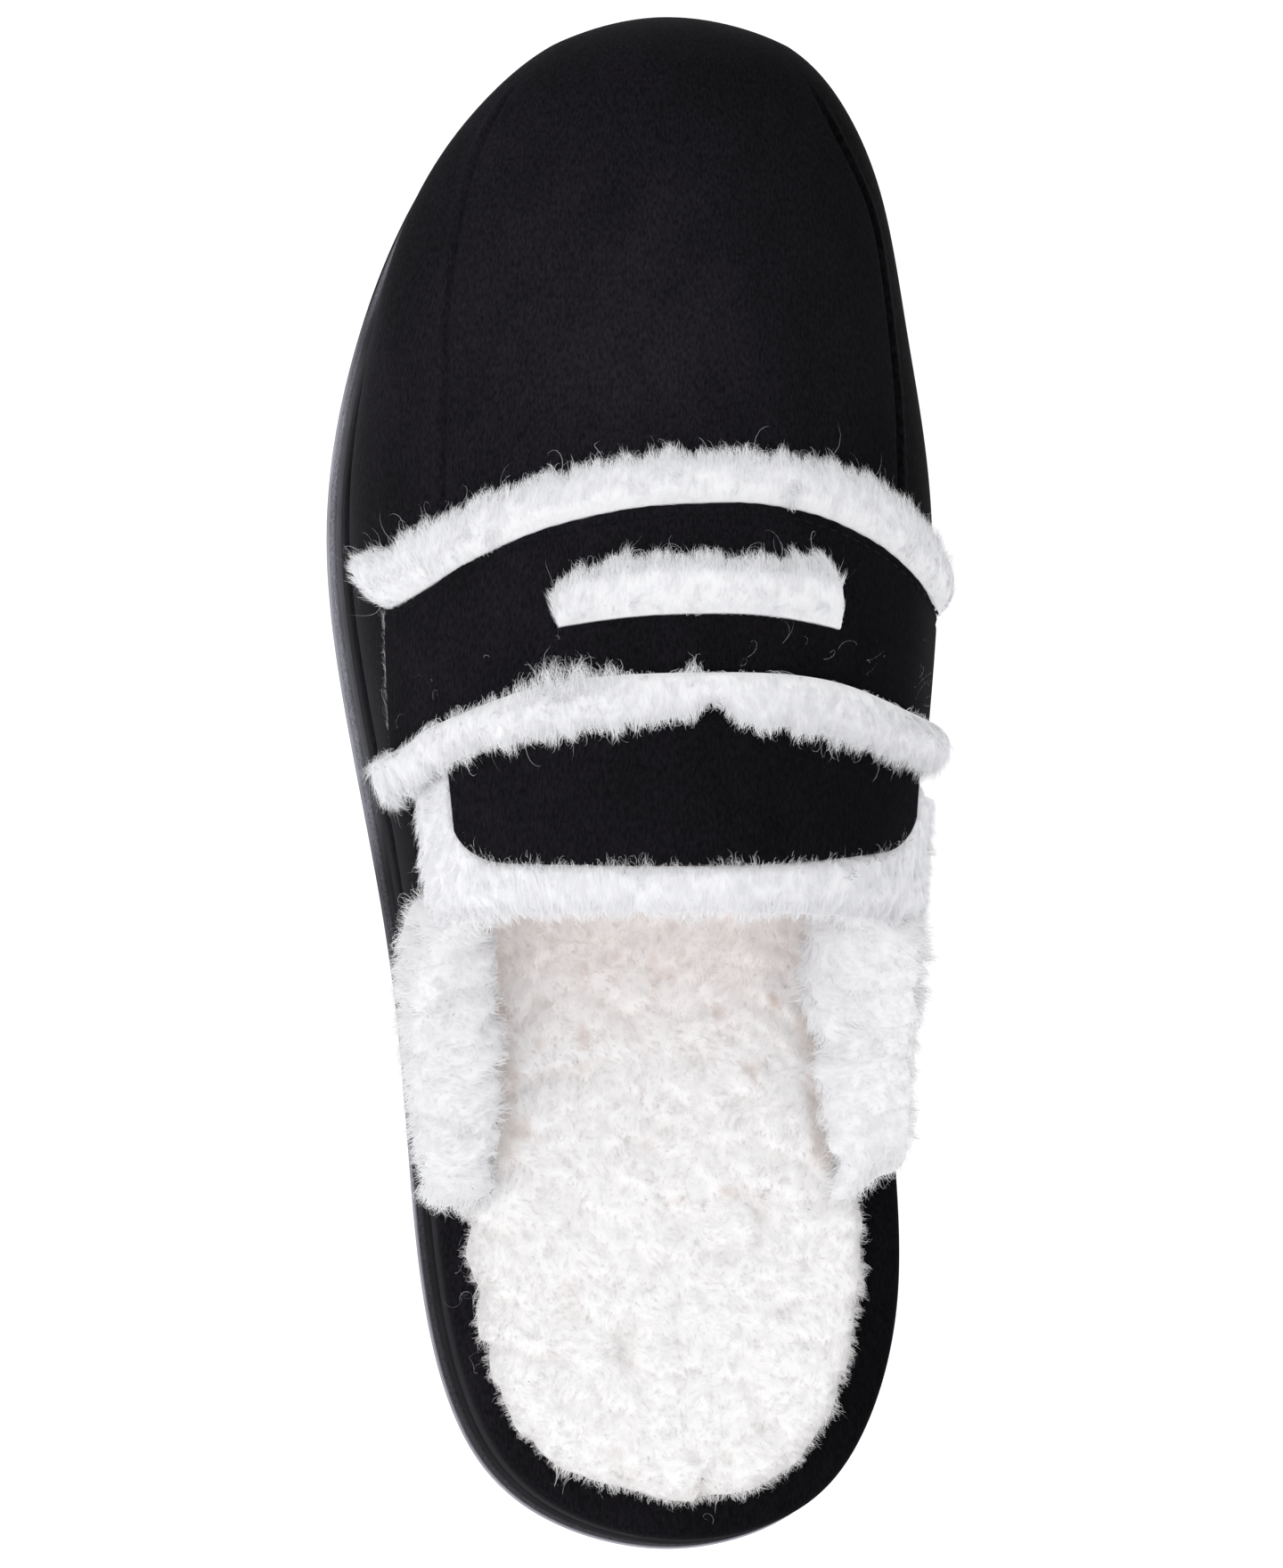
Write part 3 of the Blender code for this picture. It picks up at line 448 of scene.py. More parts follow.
def cells(x, y, size, seed):
    """Nearest centre of a jittered lattice, for a pattern of cells.

    Its distance as a share of the lattice size, the way to it, its own number between 0 and 1, and how much
    nearer it is than the next centre, which is 0 on the borders of the cells.
    """
    table = np.random.default_rng(seed).random((CELL_TABLE, CELL_TABLE, 3))
    side = np.array((-1, 0, 1))
    near_column = np.floor(x / size).astype(int)[..., None] + np.repeat(side, 3)
    near_row = np.floor(y / size).astype(int)[..., None] + np.tile(side, 3)
    pick = table[near_column % CELL_TABLE, near_row % CELL_TABLE]
    to_x = (near_column + pick[..., 0]) * size - x[..., None]
    to_y = (near_row + pick[..., 1]) * size - y[..., None]
    far = np.hypot(to_x, to_y)
    best = np.argmin(far, axis=-1)[..., None]
    found = [np.take_along_axis(value, best, -1)[..., 0] for value in (far, to_x, to_y, pick[..., 2])]
    border = np.partition(far, 1, axis=-1)[..., 1] - found[0]
    return found[0] / size, np.stack(found[1:3], -1), found[3], border / size


def curls(x, y, size, seed):
    """Overlapping locks on a pattern of cells, each a dome that is tilted up towards its own tip.

    Their height, about -0.5 to 0.7, how bright they are, with a painted shade in the creases at the border
    in front of each tip, and the way that each one lies, mostly to the heel.
    """
    far, way, number, border = cells(x, y, size, seed)
    turn = -1.4 + 3.4 * (number - 0.5)
    lay = np.stack([np.cos(turn), np.sin(turn)], -1)
    tilt = -(way * lay).sum(-1) / size
    height = np.sqrt(np.clip(1 - 0.8 * far**2, 0.02, 1)) - 0.8 + 0.45 * tilt
    crease = (1 - smooth(0.0, 0.3, border)) * smooth(-0.1, 0.4, tilt) * (0.6 + 0.4 * ((7.3 * number) % 1))
    return height, 1 - crease, lay


def soften(field):
    """Field on a grid, averaged with its neighbours along the columns and the rows."""
    for axis in (0, 1):
        last = field.shape[axis] - 1
        before = np.take(field, np.maximum(np.arange(last + 1) - 1, 0), axis)
        after = np.take(field, np.minimum(np.arange(last + 1) + 1, last), axis)
        field = (before + 2 * field + after) / 4
    return field


def unit(vectors):
    """Vectors scaled to length one."""
    return vectors / np.maximum(np.linalg.norm(vectors, axis=-1, keepdims=True), 1e-9)


def outward(grid):
    """Unit normals of a grid whose columns and rows turn to the outside as x and y turn to z."""
    return unit(np.cross(np.gradient(grid, axis=1), np.gradient(grid, axis=0)))


def grow(grid, comb, length, count, seed, lock=2.5, gather=0.35, lift=0.3, frizz=0.12, width=0.1, steps=4,
         spread=0.3, share=1.0, shade=None, glow=1.0):
    """Hairs on a grid of surface points: ribbons that narrow to a point, shaded like the surface under them.

    Roots lie evenly by area times share. A hair is a parabola from its root to its tip that starts upwards
    by lift times its length and ends along comb, plus a curl that widens towards the tip. The hairs nearest
    to the same picked root form a lock, and gather draws their tips together. shade gives other normals to
    shade them by. Each hair's tip channel rises from its root to its tip, a painted shade at the root, and
    glow scales how bright they are, for a painted shade where they stand in creases.
    """
    rng = np.random.default_rng(seed)
    columns = grid.shape[1]
    area = np.linalg.norm(np.cross(grid[:-1, 1:] - grid[:-1, :-1], grid[1:, :-1] - grid[:-1, :-1]), axis=-1)
    chance = (area * np.broadcast_to(share, grid.shape[:2])[:-1, :-1]).ravel()
    pick = rng.choice(len(chance), count, p=chance / chance.sum())
    row = pick // (columns - 1)
    column = pick % (columns - 1)
    down, right = rng.random((2, count, 1))

    def read(field):
        """Field of the grid at the roots, from the four corners of each root's cell."""
        first = field[row, column] * (1 - right) + field[row, column + 1] * right
        last = field[row + 1, column] * (1 - right) + field[row + 1, column + 1] * right
        return first * (1 - down) + last * down

    root = read(grid)
    up = unit(read(outward(grid)))
    way = unit(read(np.broadcast_to(comb, grid.shape)))
    reach = read(np.broadcast_to(length, grid.shape[:2])[..., None]) * rng.uniform(0.7, 1.2, (count, 1))
    locks = int(np.clip(chance.sum() / lock**2, 3, count))
    middle = rng.choice(count, locks, replace=False)
    spots = root[middle]
    nearest = np.concatenate([np.argmin((spots**2).sum(1) - 2 * some @ spots.T, axis=1)
                              for some in np.array_split(root, max(1, count // 3000))])
    lean = rng.normal(0, spread, (locks, 3))
    lock_tip = spots + (way[middle] + lean) * reach[middle]
    tip = root + (way + lean[nearest] * 0.5 + rng.normal(0, spread * 0.6, (count, 3))) * reach
    tip = tip + gather * (lock_tip[nearest] - tip)
    t = np.linspace(0, 1, steps)[:, None]
    bow = root + up * reach * lift + (tip - root) * 0.35
    path = root[:, None] * (1 - t)**2 + bow[:, None] * 2 * t * (1 - t) + tip[:, None] * t**2
    side = unit(np.cross(up, way))
    phase = rng.uniform(0, 2 * np.pi, (count, 1))
    turn = phase[:, None] + rng.choice((-1, 1), (count, 1, 1)) * rng.uniform(3.5, 7.0, (count, 1, 1)) * t
    ahead = way + up * rng.uniform(-0.4, 0.9, (count, 1))
    curl = side[:, None] * np.sin(turn) + ahead[:, None] * (np.cos(turn) - np.cos(phase[:, None]) * (1 - t))
    path = path + frizz * reach[:, None] * t * curl
    under = up if shade is None else unit(read(shade))
    facing = unit(under + rng.normal(0, 0.2, (count, 3)))
    across = unit(np.cross(np.gradient(path, axis=1), facing[:, None]))
    half = 0.5 * width * rng.uniform(0.6, 1.3, (count, 1, 1)) * (1 - 0.85 * t)
    ribbon = np.stack([path - across * half, path + across * half], 2)[:, :-1].reshape(count, -1, 3)
    points = np.concatenate([ribbon, path[:, -1:]], 1)
    along = 0.35 + 0.65 * np.concatenate([np.repeat(t[:-1, 0], 2), [1.0]])
    tone = np.clip(0.5 + 0.5 * lean[nearest, 0] + rng.normal(0, 0.2, count), 0, 1)
    bright = read(np.broadcast_to(glow, grid.shape[:2])[..., None])
    shading = np.broadcast_to(unit(under + 0.1 * facing)[:, None], points.shape)
    size = 2 * steps - 1
    first = (np.arange(count) * size)[:, None]
    segment = 2 * np.arange(steps - 2)
    quads = np.stack([segment, segment + 1, segment + 3, segment + 2], 1)
    quads = (first[..., None] + quads).reshape(-1, 4)
    triangles = first + np.array((size - 3, size - 2, size - 1))
    points = np.concatenate([carry(points, along * bright, tone[:, None]), shading], -1)
    return points.reshape(-1, points.shape[-1]), quads, triangles


def plain(grid, tip=0.4, tone=0.6, shade=0.0):
    """Grid of a fur's body with its two channels, and normals to shade it by, of which zeros leave its own."""
    return np.concatenate([carry(grid, tip, tone), np.broadcast_to(shade, grid.shape)], -1)


def add_fur_material(name, low, high, root, stretch, bend):
    """Matt white fur: each hair has a tone between low and high, and a painted shade of root near its root.

    Finer hairs are streaks of a noise that stretch draws out along x, y and z, on coordinates that a wide
    noise shifts by up to bend millimetres.
    """
    made = add_material(name, high, 1.0, 0.0)
    tone = blend(made, attribute(made, "tone"), low, high, 0.0, 0.8)
    tip = blend(made, attribute(made, "tip"), root, (1, 1, 1), 0.0, 0.55)
    place = on_object(made)
    wander = add_node(made, "TexNoise", {"Vector": place, "Scale": 140.0, "Detail": 1.0}, "Color")
    shift = {0: wander, 1: (bend * MM,) * 3, 2: place}
    shifted = add_node(made, "VectorMath", shift, "Vector", operation="MULTIPLY_ADD")
    streak = pattern(made, stretch, 0.42, 2.0, 0.5, shifted)
    streak_tone = blend(made, streak, (0.94, 0.94, 0.944), (1, 1, 1), 0.34, 0.6)
    finish(made, {"Base Color": mix(made, 1, mix(made, 1, tone, tip), streak_tone)})
    return made


def colour_of(material):
    """Output that a material's base colour comes from."""
    return material.node_tree.nodes["Principled BSDF"].inputs["Base Color"].links[0].from_socket


end_steps = BED_END * (1 - np.cos(np.linspace(0, np.pi / 2, 24)))
bed_stations = np.concatenate([BACK + end_steps, np.linspace(BACK + BED_END, 150, 185)[1:],
                               np.linspace(150, TIP - BED_END, 38)[1:], TIP - end_steps[::-1][1:]])
bed_line = rings(bed_stations, ((RIM + BED_CLEARANCE, GAP),), lambda y: platform(y) - RECESS)[0]
bed_floor = rungs(bed_line, np.linspace(0, 1, BED_COLUMNS))
bed_x = bed_floor[..., 0]
bed_y = bed_floor[..., 1]
outline = np.concatenate([MEDIAL, LATERAL])[::3]
inside = np.min(np.hypot(bed_x[..., None] - outline[:, 0], bed_y[..., None] - outline[:, 1]), axis=-1)
inside = np.clip(inside - RIM - BED_CLEARANCE, 0, None)
warp_x = bed_x + 1.6 * np.sin(bed_y / 5.1) + 0.5 * np.sin(bed_y / 2.3 + 1)
warp_y = bed_y + 1.6 * np.sin(bed_x / 4.7 + 2) + 0.5 * np.sin(bed_x / 2.5)
tuft, bright, lay = [soften(field) for field in curls(warp_x * 0.85, warp_y, TUFT, 11)]
fine = curls(warp_x + 40, warp_y + 9, TUFT * FINE_TUFT, 12)
fine_tuft, fine_bright, fine_lay = [soften(field) for field in fine]
tufts = TUFT_HEIGHT * tuft + FINE_HEIGHT * TUFT_HEIGHT * fine_tuft
bed_top = bed_floor.copy()
bed_top[..., 2] = platform(bed_y) + PILE_LOW + (PILE - PILE_LOW + tufts) * rounded(inside, BED_ROUND)
bed_wall = bed_floor.copy()
bed_wall[..., 2] = platform(bed_y) + 0.2
left_half = smooth(0.5, 0.2, np.linspace(0, 1, BED_COLUMNS))
hang = OVERHANG * smooth(3, 24, bed_y) * (1 - smooth(70, 90, bed_y)) * left_half
bed_top[..., 0] -= hang * (1 + 0.6 * tuft) * np.exp(-inside / 4)
bed_away = unit((bed_floor - HEEL_CENTRE) * np.array((1, 1, 0)))
swollen = np.clip(0.1 + 2.4 * tuft, -0.2, 1.4) * np.exp(-inside / 3) * (1 - smooth(70, 84, bed_y))
bed_top = bed_top + bed_away * swollen[..., None]
to_lining = smooth(108, 120, bed_y) * smooth(245, 225, bed_y) * np.exp(-inside / 3)
bed_top[..., 0] += LINING_REACH * np.sign(bed_x) * to_lining
bed_sides = [np.stack([bed_floor[:, 0], bed_wall[:, 0], bed_top[:, 0]], 1),
             np.stack([bed_top[:, -1], bed_wall[:, -1], bed_floor[:, -1]], 1)]
bed_shade = unit(0.75 * outward(bed_top) + np.array((0, 0, 0.3)))
# Painted shadow on the pile beside the collar rolls, along their inner edge
painted_collar_shadow = smooth(12.0, 6.5, inside) * smooth(60, 75, bed_y) * smooth(120, 112, bed_y)
# Painted shade in the creases between the tufts, stronger towards the throat; it darkens the pile's body and
# the hairs rooted there
painted_crease_shade = (1.7 * soften(1 - bright) + 0.4 * (1 - fine_bright)) * (0.4 + 0.5 * smooth(40, 105, bed_y))
bed_bright = np.clip(1 - painted_crease_shade, 0, 1) * (1 - 0.8 * painted_collar_shadow)
# Painted shade in the hollows: the tone is higher on the tufts and lower between them
bed_tone = smooth(-0.5, 0.4, tuft + 0.5 * fine_tuft)
pile_comb = carry(lay + 0.7 * fine_lay, 0.5)
seen = (1 - 0.75 * smooth(118, 130, bed_y)) * (1 - 0.8 * smooth(135, 155, bed_y))

# The pile's root colour is its painted warm shade, in the creases and at the roots of the hairs
pile_white = add_fur_material("pile_white", (0.89, 0.867, 0.862), (0.96, 0.956, 0.963), (0.79, 0.7, 0.65),
                              (1.0, 4.0, 4.0), 14.0)
# Painted light under the throat, where the vamp shades the pile: a painted warm shade tints it, and a faint
# emission lightens it though it is no lamp
painted_throat_y = add_node(pile_white, "SeparateXYZ", {"Vector": on_object(pile_white)}, "Y")
painted_throat_mask = add_node(pile_white, "MapRange", {"Value": painted_throat_y, "From Min": -0.056, "From Max": -0.024},
                       "Result")
painted_throat_glow = add_node(pile_white, "Math", {0: painted_throat_mask, 1: 0.07}, "Value", operation="MULTIPLY")
painted_throat_shade = mix(pile_white, painted_throat_mask, colour_of(pile_white), (0.99, 0.95, 0.935, 1))
finish(pile_white, {"Base Color": painted_throat_shade, "Emission Color": (1.0, 0.96, 0.95, 1),
                    "Emission Strength": painted_throat_glow})

bed_skin = skin(plain(bed_top, bed_bright, bed_tone, bed_shade),
                *[plain(side) for side in (bed_floor[:, [-1, 0]], *bed_sides)])
bed_hairs = grow(bed_top, pile_comb, 2.0, 17000, 21, lock=2.2, gather=0.45, frizz=0.3, width=0.13,
                 share=seen * (0.35 + 0.65 * bed_bright), shade=bed_shade, glow=0.15 + 0.85 * bed_bright)
bed_fringe = grow(bed_top, bed_away + 0.35 * outward(bed_top), 1.0, 5000, 23, lock=1.5, gather=0.4, lift=0.5,
                  frizz=0.6, width=0.09, steps=5, spread=0.5, shade=bed_shade,
                  share=seen * smooth(3.5, 0.5, inside) * (bed_y < 76))
insole = make_piece("insole_pile", pile_white, [bed_skin, bed_hairs, bed_fringe], FUR_CHANNELS)
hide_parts("insole")

# Upper: suede vamp and quarters in three panels, lasted over the toe and sewn to the platform. Two
# lengthwise seams join the panels, each with a groove and a soft ridge where the edge of one panel is
# turned under.
SECTION_COLUMNS = ("station", "ridge", "crown", "swell_lateral", "swell_medial")
SECTIONS = (
    (0.0, 0.0, 62.0, 3.0, 3.0), (60.0, 0.0, 62.0, 3.2, 3.2), (118.0, 0.0, 60.5, 3.0, 3.2),
    (150.0, 1.2, 57.5, 1.6, 3.0), (175.0, 1.5, 53.0, 1.6, 3.2), (210.0, 0.2, 45.5, 2.6, 3.6),
    (240.0, -0.3, 38.0, 5.2, 3.2), (260.0, -0.3, 30.5, 4.6, 2.9), (283.0, 0.0, 21.0, 1.0, 2.0),
)
FEATHER_INSET = 0.8
SIDE_POWER = 2.3
CROWN_POWER = 2.15
TOE_ROUND = 16.0
TOE_OVERHANG = 0.2
FRONT = TIP + TOE_OVERHANG
# Open edge of the upper: section angle in degrees, station
TOPLINE = (
    (0.0, 64.0), (5.0, 66.0), (10.0, 79.0), (18.0, 98.0), (26.0, 109.5), (36.0, 114.6), (60.0, 116.6),
    (90.0, 117.0), (120.0, 116.6), (144.0, 114.6), (154.0, 109.5), (162.0, 100.0), (170.0, 84.0),
    (175.0, 73.0), (180.0, 71.0),
)
# Seams: station, section angle in degrees
SEAM_LATERAL = ((116.0, 44.0), (196.0, 45.2), (213.0, 44.8), (226.0, 43.4), (242.0, 42.0), (257.0, 38.4),
                (268.0, 35.2), (283.0, 29.0))
SEAM_MEDIAL = ((116.0, 141.0), (198.0, 140.8), (209.0, 143.0), (223.0, 145.2), (238.0, 146.3), (247.0, 145.0),
               (254.0, 141.6), (265.0, 137.6), (283.0, 137.0))
SEAM_DEPTH = 0.6
SEAM_RIDGE = 0.28
SUEDE_THICK = 1.6
VAMP_ROWS = 96
PANEL_GRADE = 1.7


def section(name, y):
    """One column of the section table read at station y."""
    rows = np.array(SECTIONS)
    return spline(rows[:, 0], rows[:, SECTION_COLUMNS.index(name)], y)


def across_line(rows, angle):
    """Station of a line across the upper, a spline through a table of angles in degrees and stations."""
    rows = np.array(rows)
    return spline(np.radians(rows[:, 0]), rows[:, 1], angle)


def spread_out(*values):
    """Values as arrays of one shape."""
    return np.broadcast_arrays(*[np.asarray(value, float) for value in values])


def upper_base(y, angle):
    """Outer face: each section is an arch from the lateral feather edge over the ridge to the medial one."""
    y, angle = spread_out(y, angle)
    y = np.minimum(y, FRONT)
    on_outline = y * TIP / FRONT
    left = edge(LATERAL, on_outline) + FEATHER_INSET
    right = edge(MEDIAL, on_outline) - FEATHER_INSET
    ridge = np.clip(section("ridge", y), left, right)
    to_front = np.clip((FRONT - y) / TOE_ROUND, 0, 1)
    crown = section("crown", y) * np.sqrt(np.clip(1 - (1 - to_front)**2.2, 0, 1))
    c = np.cos(angle)
    s = np.clip(np.sin(angle), 0, 1)
    width = np.where(c > 0, ridge - left, right - ridge)
    swell = np.where(c > 0, section("swell_lateral", y), section("swell_medial", y))
    swell = swell * 3.5 * s * np.abs(c)**4 * np.clip((FRONT - y) / 6, 0, 1)
    x = ridge - np.sign(c) * (width * np.abs(c)**(2 / SIDE_POWER) + swell)
    z = platform(y) + GAP + crown * s**(2 / CROWN_POWER)
    return np.stack([x, y, z], -1)


def upper_normal(y, angle):
    """Outward direction of the outer face, from two small steps along it and across it."""
    y, angle = spread_out(y, angle)
    y = np.minimum(y, FRONT - 0.6)
    angle = np.clip(angle, 0.02, np.pi - 0.02)
    along = upper_base(y + 0.4, angle) - upper_base(y - 0.4, angle)
    across = upper_base(y, angle + 0.01) - upper_base(y, angle - 0.01)
    return unit(np.cross(across, along))


def upper_surface(y, angle, height):
    """Point at a height above the outer face, measured along its outward direction."""
    y, angle, height = spread_out(y, angle, height)
    return upper_base(y, angle) + height[..., None] * upper_normal(y, angle)


def girth(y, angle):
    """Millimetres across the upper for one radian of section angle."""
    return np.linalg.norm(upper_base(y, angle + 0.01) - upper_base(y, angle - 0.01), axis=-1) / 0.02


def panel_angle(part, y):
    """Section angle of a grid column, and of the two seams at the same station.

    part runs from 0 to 1 on the lateral panel, to 2 on the plug between the seams, and to 3 on the medial
    panel.
    """
    lateral, medial = [np.radians(spline(*np.array(seam).T, y)) for seam in (SEAM_LATERAL, SEAM_MEDIAL)]
    side = lateral * np.clip(part, 0, 1) + (np.pi - medial) * np.clip(part - 2, 0, 1)
    return side + (medial - lateral) * np.clip(part - 1, 0, 1), lateral, medial


def bell(offset, width):
    """Bell curve: 1 where the offset is 0, and one over e at an offset of its width."""
    return np.exp(-(offset / width)**2)


def around(grid, rows=(0, -1), columns=(0, -1)):
    """Closed line of grid points round a block, from its first and last row and its first and last column."""
    first, last = rows
    left, right = columns
    return np.concatenate([grid[first, left:right], grid[first:last, right], grid[last, right:left:-1],
                           grid[last:first:-1, left], grid[first, left:left + 1]])


def sheet(outer, inner):
    """Closed thin solid between two grids of the same shape."""
    return skin(outer, inner[:, ::-1], np.stack([around(inner), around(outer)]))


graded = np.linspace(0, 1, 36)**PANEL_GRADE
part = np.concatenate([1 - graded[::-1], 1.5 - 0.5 * np.cos(np.linspace(0, np.pi, 64))[1:-1], 2 + graded])
vamp_share = np.sin(np.linspace(0, 1, VAMP_ROWS) * np.pi / 2)[:, None]
vamp_y = np.full((VAMP_ROWS, len(part)), 200.0)
for repeat in range(12):
    rear = across_line(TOPLINE, panel_angle(part, vamp_y)[0])
    vamp_y = rear + (FRONT - rear) * vamp_share
vamp_angle, lateral_seam, medial_seam = panel_angle(part, vamp_y)
vamp_girth = girth(vamp_y, vamp_angle)
to_lateral = (vamp_angle - lateral_seam) * vamp_girth
to_medial = (medial_seam - vamp_angle) * vamp_girth
relief = 0
for distance in (to_lateral, to_medial):
    relief = relief - SEAM_DEPTH * bell(distance, 0.5) + SEAM_RIDGE * bell(distance + 1.3, 0.8)
relief = relief * (1 - smooth(259, 271, vamp_y))
strip_share = smooth(0.5, -0.7, to_medial) * (1 - 0.7 * smooth(262, 274, vamp_y))
vamp_outer = upper_surface(vamp_y, vamp_angle, relief)
vamp_inner = upper_surface(vamp_y, vamp_angle, -SUEDE_THICK)
vamp_outer[-1] = vamp_outer[-1, 0]
vamp_inner[-1] = vamp_outer[-1, 0] - np.array((0, SUEDE_THICK, 0))
vamp_inner[..., 2] = np.maximum(vamp_inner[..., 2], platform(vamp_inner[..., 1]) + GAP)
vamp_skin = sheet(carry(vamp_outer, strip_share), carry(vamp_inner, strip_share))
upper = make_piece("upper_suede", suede, [vamp_skin], ["strip"])
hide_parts("upper")

# Lining: curly white pile cemented inside the upper, in tufts like those of the insole. It hangs from the
# roof of the vamp and down the quarters, and is seen from behind through the throat.
LINING_TOP = 1.8
LINING_THICK = 2.0
LINING_LUMP = 1.3
MEAN_GIRTH = 45
lining_angle = np.radians(np.linspace(177.5, 2.5, 72))
lining_rear = across_line(TOPLINE, lining_angle) + 2.0
lining_y = lining_rear + (FRONT - 16.0 - lining_rear) * np.linspace(0, 1, 60)[:, None]
lining_angle = np.broadcast_to(lining_angle, lining_y.shape)
lump = np.clip(1 - cells(lining_angle * MEAN_GIRTH, lining_y, TUFT, 13)[0]**2, 0, 1)
lining_in = upper_surface(lining_y, lining_angle, -LINING_TOP - LINING_THICK - LINING_LUMP * lump)
lining_out = upper_surface(lining_y, lining_angle, -LINING_TOP)
lining_comb = np.gradient(lining_in, axis=0) * -1 + np.array((0, 0, -0.6))
lining_skin = sheet(plain(lining_in), plain(lining_out))
lining_hairs = grow(lining_in, lining_comb, 3.0, 6000, 22, lift=0.6, frizz=0.3, width=0.24, steps=3)
lining = make_piece("lining_pile", pile_white, [lining_skin, lining_hairs], FUR_CHANNELS)

# Strap: a saddle of the same suede laid over the vamp, with a cut slot in the middle. It is sewn down along
# its front edge, and its lateral end is a raw cut edge with white fibres of the backing along it.
# Edges of the strap and rear edge of the slot: section angle in degrees, station
STRAP_FRONT = ((10.0, 166.6), (28.0, 169.6), (36.0, 171.2), (44.0, 174.0), (57.0, 179.2), (92.0, 187.0),
               (127.0, 181.8), (136.0, 178.5), (146.0, 174.6), (170.0, 168.6))
STRAP_REAR = ((10.0, 141.8), (24.0, 143.6), (36.0, 146.0), (51.0, 150.2), (66.0, 153.6), (88.0, 155.2),
              (118.0, 154.3), (137.0, 151.0), (154.0, 149.3), (170.0, 148.0))
SLOT_REAR = ((55.0, 162.0), (67.0, 164.0), (92.0, 166.4), (119.0, 164.3), (130.0, 162.6))
STRAP_LATERAL = np.radians(25.3)
STRAP_MEDIAL = np.radians(160.0)
STRAP_LEAN = np.radians(6.0)
STRAP_HIGH = 2.3
STRAP_ROUND = 1.2
SLOT_LATERAL = np.radians(66.5)
SLOT_MEDIAL = np.radians(118.5)
SLOT_WIDTH = 7.0
# Grid of the strap: points in the runs before, along and past the slot, and the rows and columns at its edges
STRAP_ROWS = (18, 8, 20)
STRAP_COLUMNS = (44, 50, 44)
SLOT_ROWS = (17, 24)
SLOT_COLUMNS = (43, 92)
STITCH_INSET = 2.0
STITCH_PITCH = 2.6
STITCH_LENGTH = 1.7
STITCH_WIDTH = 0.3
STITCH_SINK = 0.15


def eased_runs(stops, counts):
    """Runs of eased steps from each stop to the next, joined without doubling the stops."""
    runs = [eased(start, end, count) for start, end, count in zip(stops, stops[1:], counts)]
    return np.concatenate([runs[0]] + [run[1:] for run in runs[1:]])


def slot_share(angle):
    """Rear and front edges of the slot as shares of the strap's width, held level beyond the slot's ends."""
    held = np.clip(angle, SLOT_LATERAL, SLOT_MEDIAL)
    rear = across_line(STRAP_REAR, held)
    width = across_line(STRAP_FRONT, held) - rear
    start = (across_line(SLOT_REAR, held) - rear) / width
    return start, start + SLOT_WIDTH / width


def holed(grid):
    """Four grids that cover the strap and leave the slot open."""
    rear_row, front_row = SLOT_ROWS
    beside = grid[rear_row:front_row + 1]
    return grid[:rear_row + 1], grid[front_row:], beside[:, :SLOT_COLUMNS[0] + 1], beside[:, SLOT_COLUMNS[1]:]


def run_of(line):
    """Distance run along a line of points, up to each of them."""
    return np.concatenate([[0], np.cumsum(np.linalg.norm(np.diff(line, axis=0), axis=1))])


def stitches(place, along, across, up):
    """Short threads, each a six-sided spindle with flattened ends.

    The radius of its rings is the square root of one minus the fourth power of the share of its half length.
    """
    turns = np.linspace(0, 2 * np.pi, 7)[None, :, None]
    circle = across[:, None] * np.cos(turns) + 0.7 * up[:, None] * np.sin(turns)
    loops = []
    for share in (-0.5, -0.4, 0.0, 0.4, 0.5):
        radius = STITCH_WIDTH * np.sqrt(np.maximum(1 - (2 * share)**4, 0))
        spot = place + along * share * STITCH_LENGTH
        loops.append(spot[:, None] + radius * circle)
    loops = np.stack(loops, 1)
    numbers = np.arange(loops[..., 0].size).reshape(loops.shape[:3])
    return loops.reshape(-1, 3), quads_of(numbers), np.zeros((0, 3), int)


strap_angle = eased_runs((STRAP_LATERAL, SLOT_LATERAL, SLOT_MEDIAL, STRAP_MEDIAL), STRAP_COLUMNS)
strap_row = eased_runs((0, 1, 2, 3), STRAP_ROWS)[:, None]
slot_start, slot_end = slot_share(strap_angle)
strap_share = np.clip(strap_row, 0, 1) * slot_start + np.clip(strap_row - 1, 0, 1) * (slot_end - slot_start)
strap_share = strap_share + np.clip(strap_row - 2, 0, 1) * (1 - slot_end)
rear_wave = 0.12 * np.sin(strap_angle * 47) * np.sin(strap_angle * 29)
front_wave = 0.15 * np.sin(strap_angle * 53) * np.sin(strap_angle * 31)
strap_rear = across_line(STRAP_REAR, strap_angle) + rear_wave
strap_front = across_line(STRAP_FRONT, strap_angle) + front_wave
strap_y = strap_rear + (strap_front - strap_rear) * strap_share
lean = STRAP_LEAN * (1 - smooth(STRAP_LATERAL, np.radians(50), strap_angle))
strap_at = strap_angle + lean * (strap_share - 0.5)
strap_girth = girth(strap_y, strap_at)
slot_line = strap_rear + (strap_front - strap_rear) * slot_start
slot_x = np.maximum(SLOT_LATERAL - strap_at, strap_at - SLOT_MEDIAL) * strap_girth
slot_y = np.maximum(slot_line - strap_y, strap_y - slot_line - SLOT_WIDTH)
to_slot = np.hypot(np.maximum(slot_x, 0), np.maximum(slot_y, 0))
to_end = np.minimum(strap_angle - STRAP_LATERAL, STRAP_MEDIAL - strap_angle) * strap_girth
to_edge = np.min([to_slot, to_end, strap_y - strap_rear, strap_front - strap_y], axis=0)
fall = 0.7 * (1 - rounded(to_edge, STRAP_ROUND))
sewn = 0.25 * bell(strap_front - strap_y - STITCH_INSET, 0.5)
thinned = smooth(np.radians(138), np.radians(156), strap_at)
strap_top = upper_surface(strap_y, strap_at, STRAP_HIGH - fall - sewn - thinned)
strap_bottom = upper_surface(strap_y, strap_at, GAP)
strap_wall = np.stack([around(strap_bottom), around(strap_top)])
